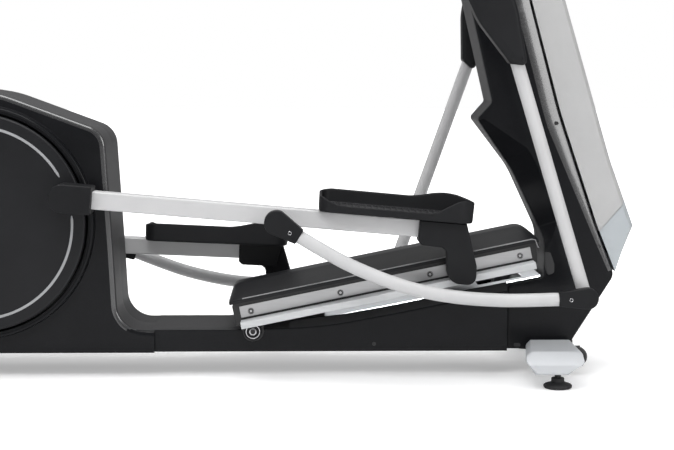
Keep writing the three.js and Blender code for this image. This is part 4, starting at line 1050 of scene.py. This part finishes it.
CAD_FINISH = {
    "base_frame": STEEL, "front_stabilizer": STEEL, "rear_stabilizer": STEEL, "mast_post": STEEL,
    "magnet_bracket": STEEL, "lift_motor": STEEL, "lift_screw": BRIGHT, "crank_shaft": BRIGHT,
    "crank_pulley": ALLOY, "drive_belt": BELT, "flywheel_axle": BRIGHT, "flywheel": IRON,
    "ramp_pivot_shaft": BRIGHT, "roller_axle_right": BRIGHT, "roller_axle_left": BRIGHT,
}
for cad_name, material in CAD_FINISH.items():
    cad = frame["nodes"][cad_name]
    for material_slot in cad.material_slots:
        material_slot.material = material
    if not cad.hide_render:
        soften = cad.modifiers.new("soften", "BEVEL")
        soften.width = 0.0008
        soften.segments = 2
        soften.limit_method = "ANGLE"
        soften.angle_limit = radians(40)
        soften.harden_normals = True

# ---- floor, light and camera

bpy.ops.mesh.primitive_plane_add(size=60, location=(0, 0, -0.0005))
floor = bpy.context.object
floor.name = "floor"
paper = finish("floor_paper", (0.80, 0.80, 0.805), (0.83, 0.83, 0.835), 0.9, tone_scale=0.6, grain_scale=90,
               grain=0.02, specular=0.1)
# Seen directly the paper glows a little, and well away from the machine it fades to plain white.
tree = paper.node_tree
link = tree.links.new
position = node(tree, "ShaderNodeTexCoord")
distance = node(tree, "ShaderNodeVectorMath", "LENGTH")
fade = node(tree, "ShaderNodeMapRange", From_Min=1.5, From_Max=2.9, To_Min=0.34, To_Max=1.0)
rays = node(tree, "ShaderNodeLightPath")
glow = node(tree, "ShaderNodeMapRange", To_Min=0.12)
link(position.outputs["Object"], distance.inputs[0])
link(distance.outputs["Value"], fade.inputs["Value"])
link(rays.outputs["Is Camera Ray"], glow.inputs["Value"])
link(fade.outputs["Result"], glow.inputs["To Max"])
shader = tree.nodes["Principled BSDF"]
link(glow.outputs["Result"], shader.inputs["Emission Strength"])
shader.inputs["Emission Color"].default_value = (1, 1, 1, 1)
floor.data.materials.append(paper)

world = bpy.data.worlds.new("studio")
bpy.context.scene.world = world
world.use_nodes = True
tree = world.node_tree
link = tree.links.new
background = tree.nodes["Background"]
background.inputs["Strength"].default_value = 0.55
seen = node(tree, "ShaderNodeBackground", Color=(1, 1, 1, 1), Strength=1.0)
rays = node(tree, "ShaderNodeLightPath")
mix = node(tree, "ShaderNodeMixShader")
place = node(tree, "ShaderNodeTexCoord")
split = node(tree, "ShaderNodeSeparateXYZ")
sky = node(tree, "ShaderNodeValToRGB")
for element, level, color in zip(sky.color_ramp.elements, (0.30, 0.95),
                                 ((0.30, 0.30, 0.31, 1), (1, 1, 1, 1))):
    element.position = level
    element.color = color
height = node(tree, "ShaderNodeMath", "MULTIPLY_ADD", _1=0.5, _2=0.5)
link(place.outputs["Generated"], split.inputs["Vector"])
link(split.outputs["Z"], height.inputs[0])
link(height.outputs[0], sky.inputs["Fac"])
link(sky.outputs["Color"], background.inputs["Color"])
link(rays.outputs["Is Camera Ray"], mix.inputs["Fac"])
link(background.outputs["Background"], mix.inputs[1])
link(seen.outputs["Background"], mix.inputs[2])
link(mix.outputs["Shader"], tree.nodes["World Output"].inputs["Surface"])


def softbox(name, place, target, width, height, power):
    data = bpy.data.lights.new(name, "AREA")
    data.shape = "RECTANGLE"
    data.size, data.size_y = width, height
    data.energy = power
    made = bpy.data.objects.new(name, data)
    bpy.context.scene.collection.objects.link(made)
    made.location = place
    made.rotation_euler = (Vector(target) - Vector(place)).to_track_quat("-Z", "Y").to_euler()
    return made


softbox("top", (0.0, -0.3, 4.6), (0, 0, 0), 5.5, 3.5, 165)
softbox("near", (-0.8, -3.2, 4.0), (0.2, 0, 0.4), 3.2, 1.6, 95)
softbox("behind", (0.6, 4.2, 3.2), (0, 0, 0.6), 4.0, 2.0, 45).visible_glossy = False
softbox("ahead", (3.6, -4.4, 1.9), (0.8, 0, 0.7), 1.6, 2.4, 64)
# A low light for the ledge alone, which lies in the shade of the ramp.
under = softbox("under", (0.6, -3.4, 0.42), (0.55, 0, 0.2), 2.6, 0.3, 2100)
lit = bpy.data.collections.new("lit_from_below")
lit.objects.link(ledge_board)
under.light_linking.receiver_collection = lit

camera_data = bpy.data.cameras.new("camera")
camera_data.sensor_width = 36
camera_data.lens = 80.1
camera = bpy.data.objects.new("camera", camera_data)
bpy.context.scene.collection.objects.link(camera)
YAW, PITCH = 0.016558, 0.100044
ahead = Vector((sin(YAW) * cos(PITCH), cos(YAW) * cos(PITCH), -sin(PITCH)))
right = Vector((cos(YAW), -sin(YAW), 0))
camera.matrix_world = Matrix.Translation((CRANK.x / 1000 + 0.8692, -4.0149, 0.7899)) @ Matrix(
    (right, right.cross(ahead), -ahead)).transposed().to_4x4()
bpy.context.scene.camera = camera
bpy.context.scene.view_settings.view_transform = "Standard"
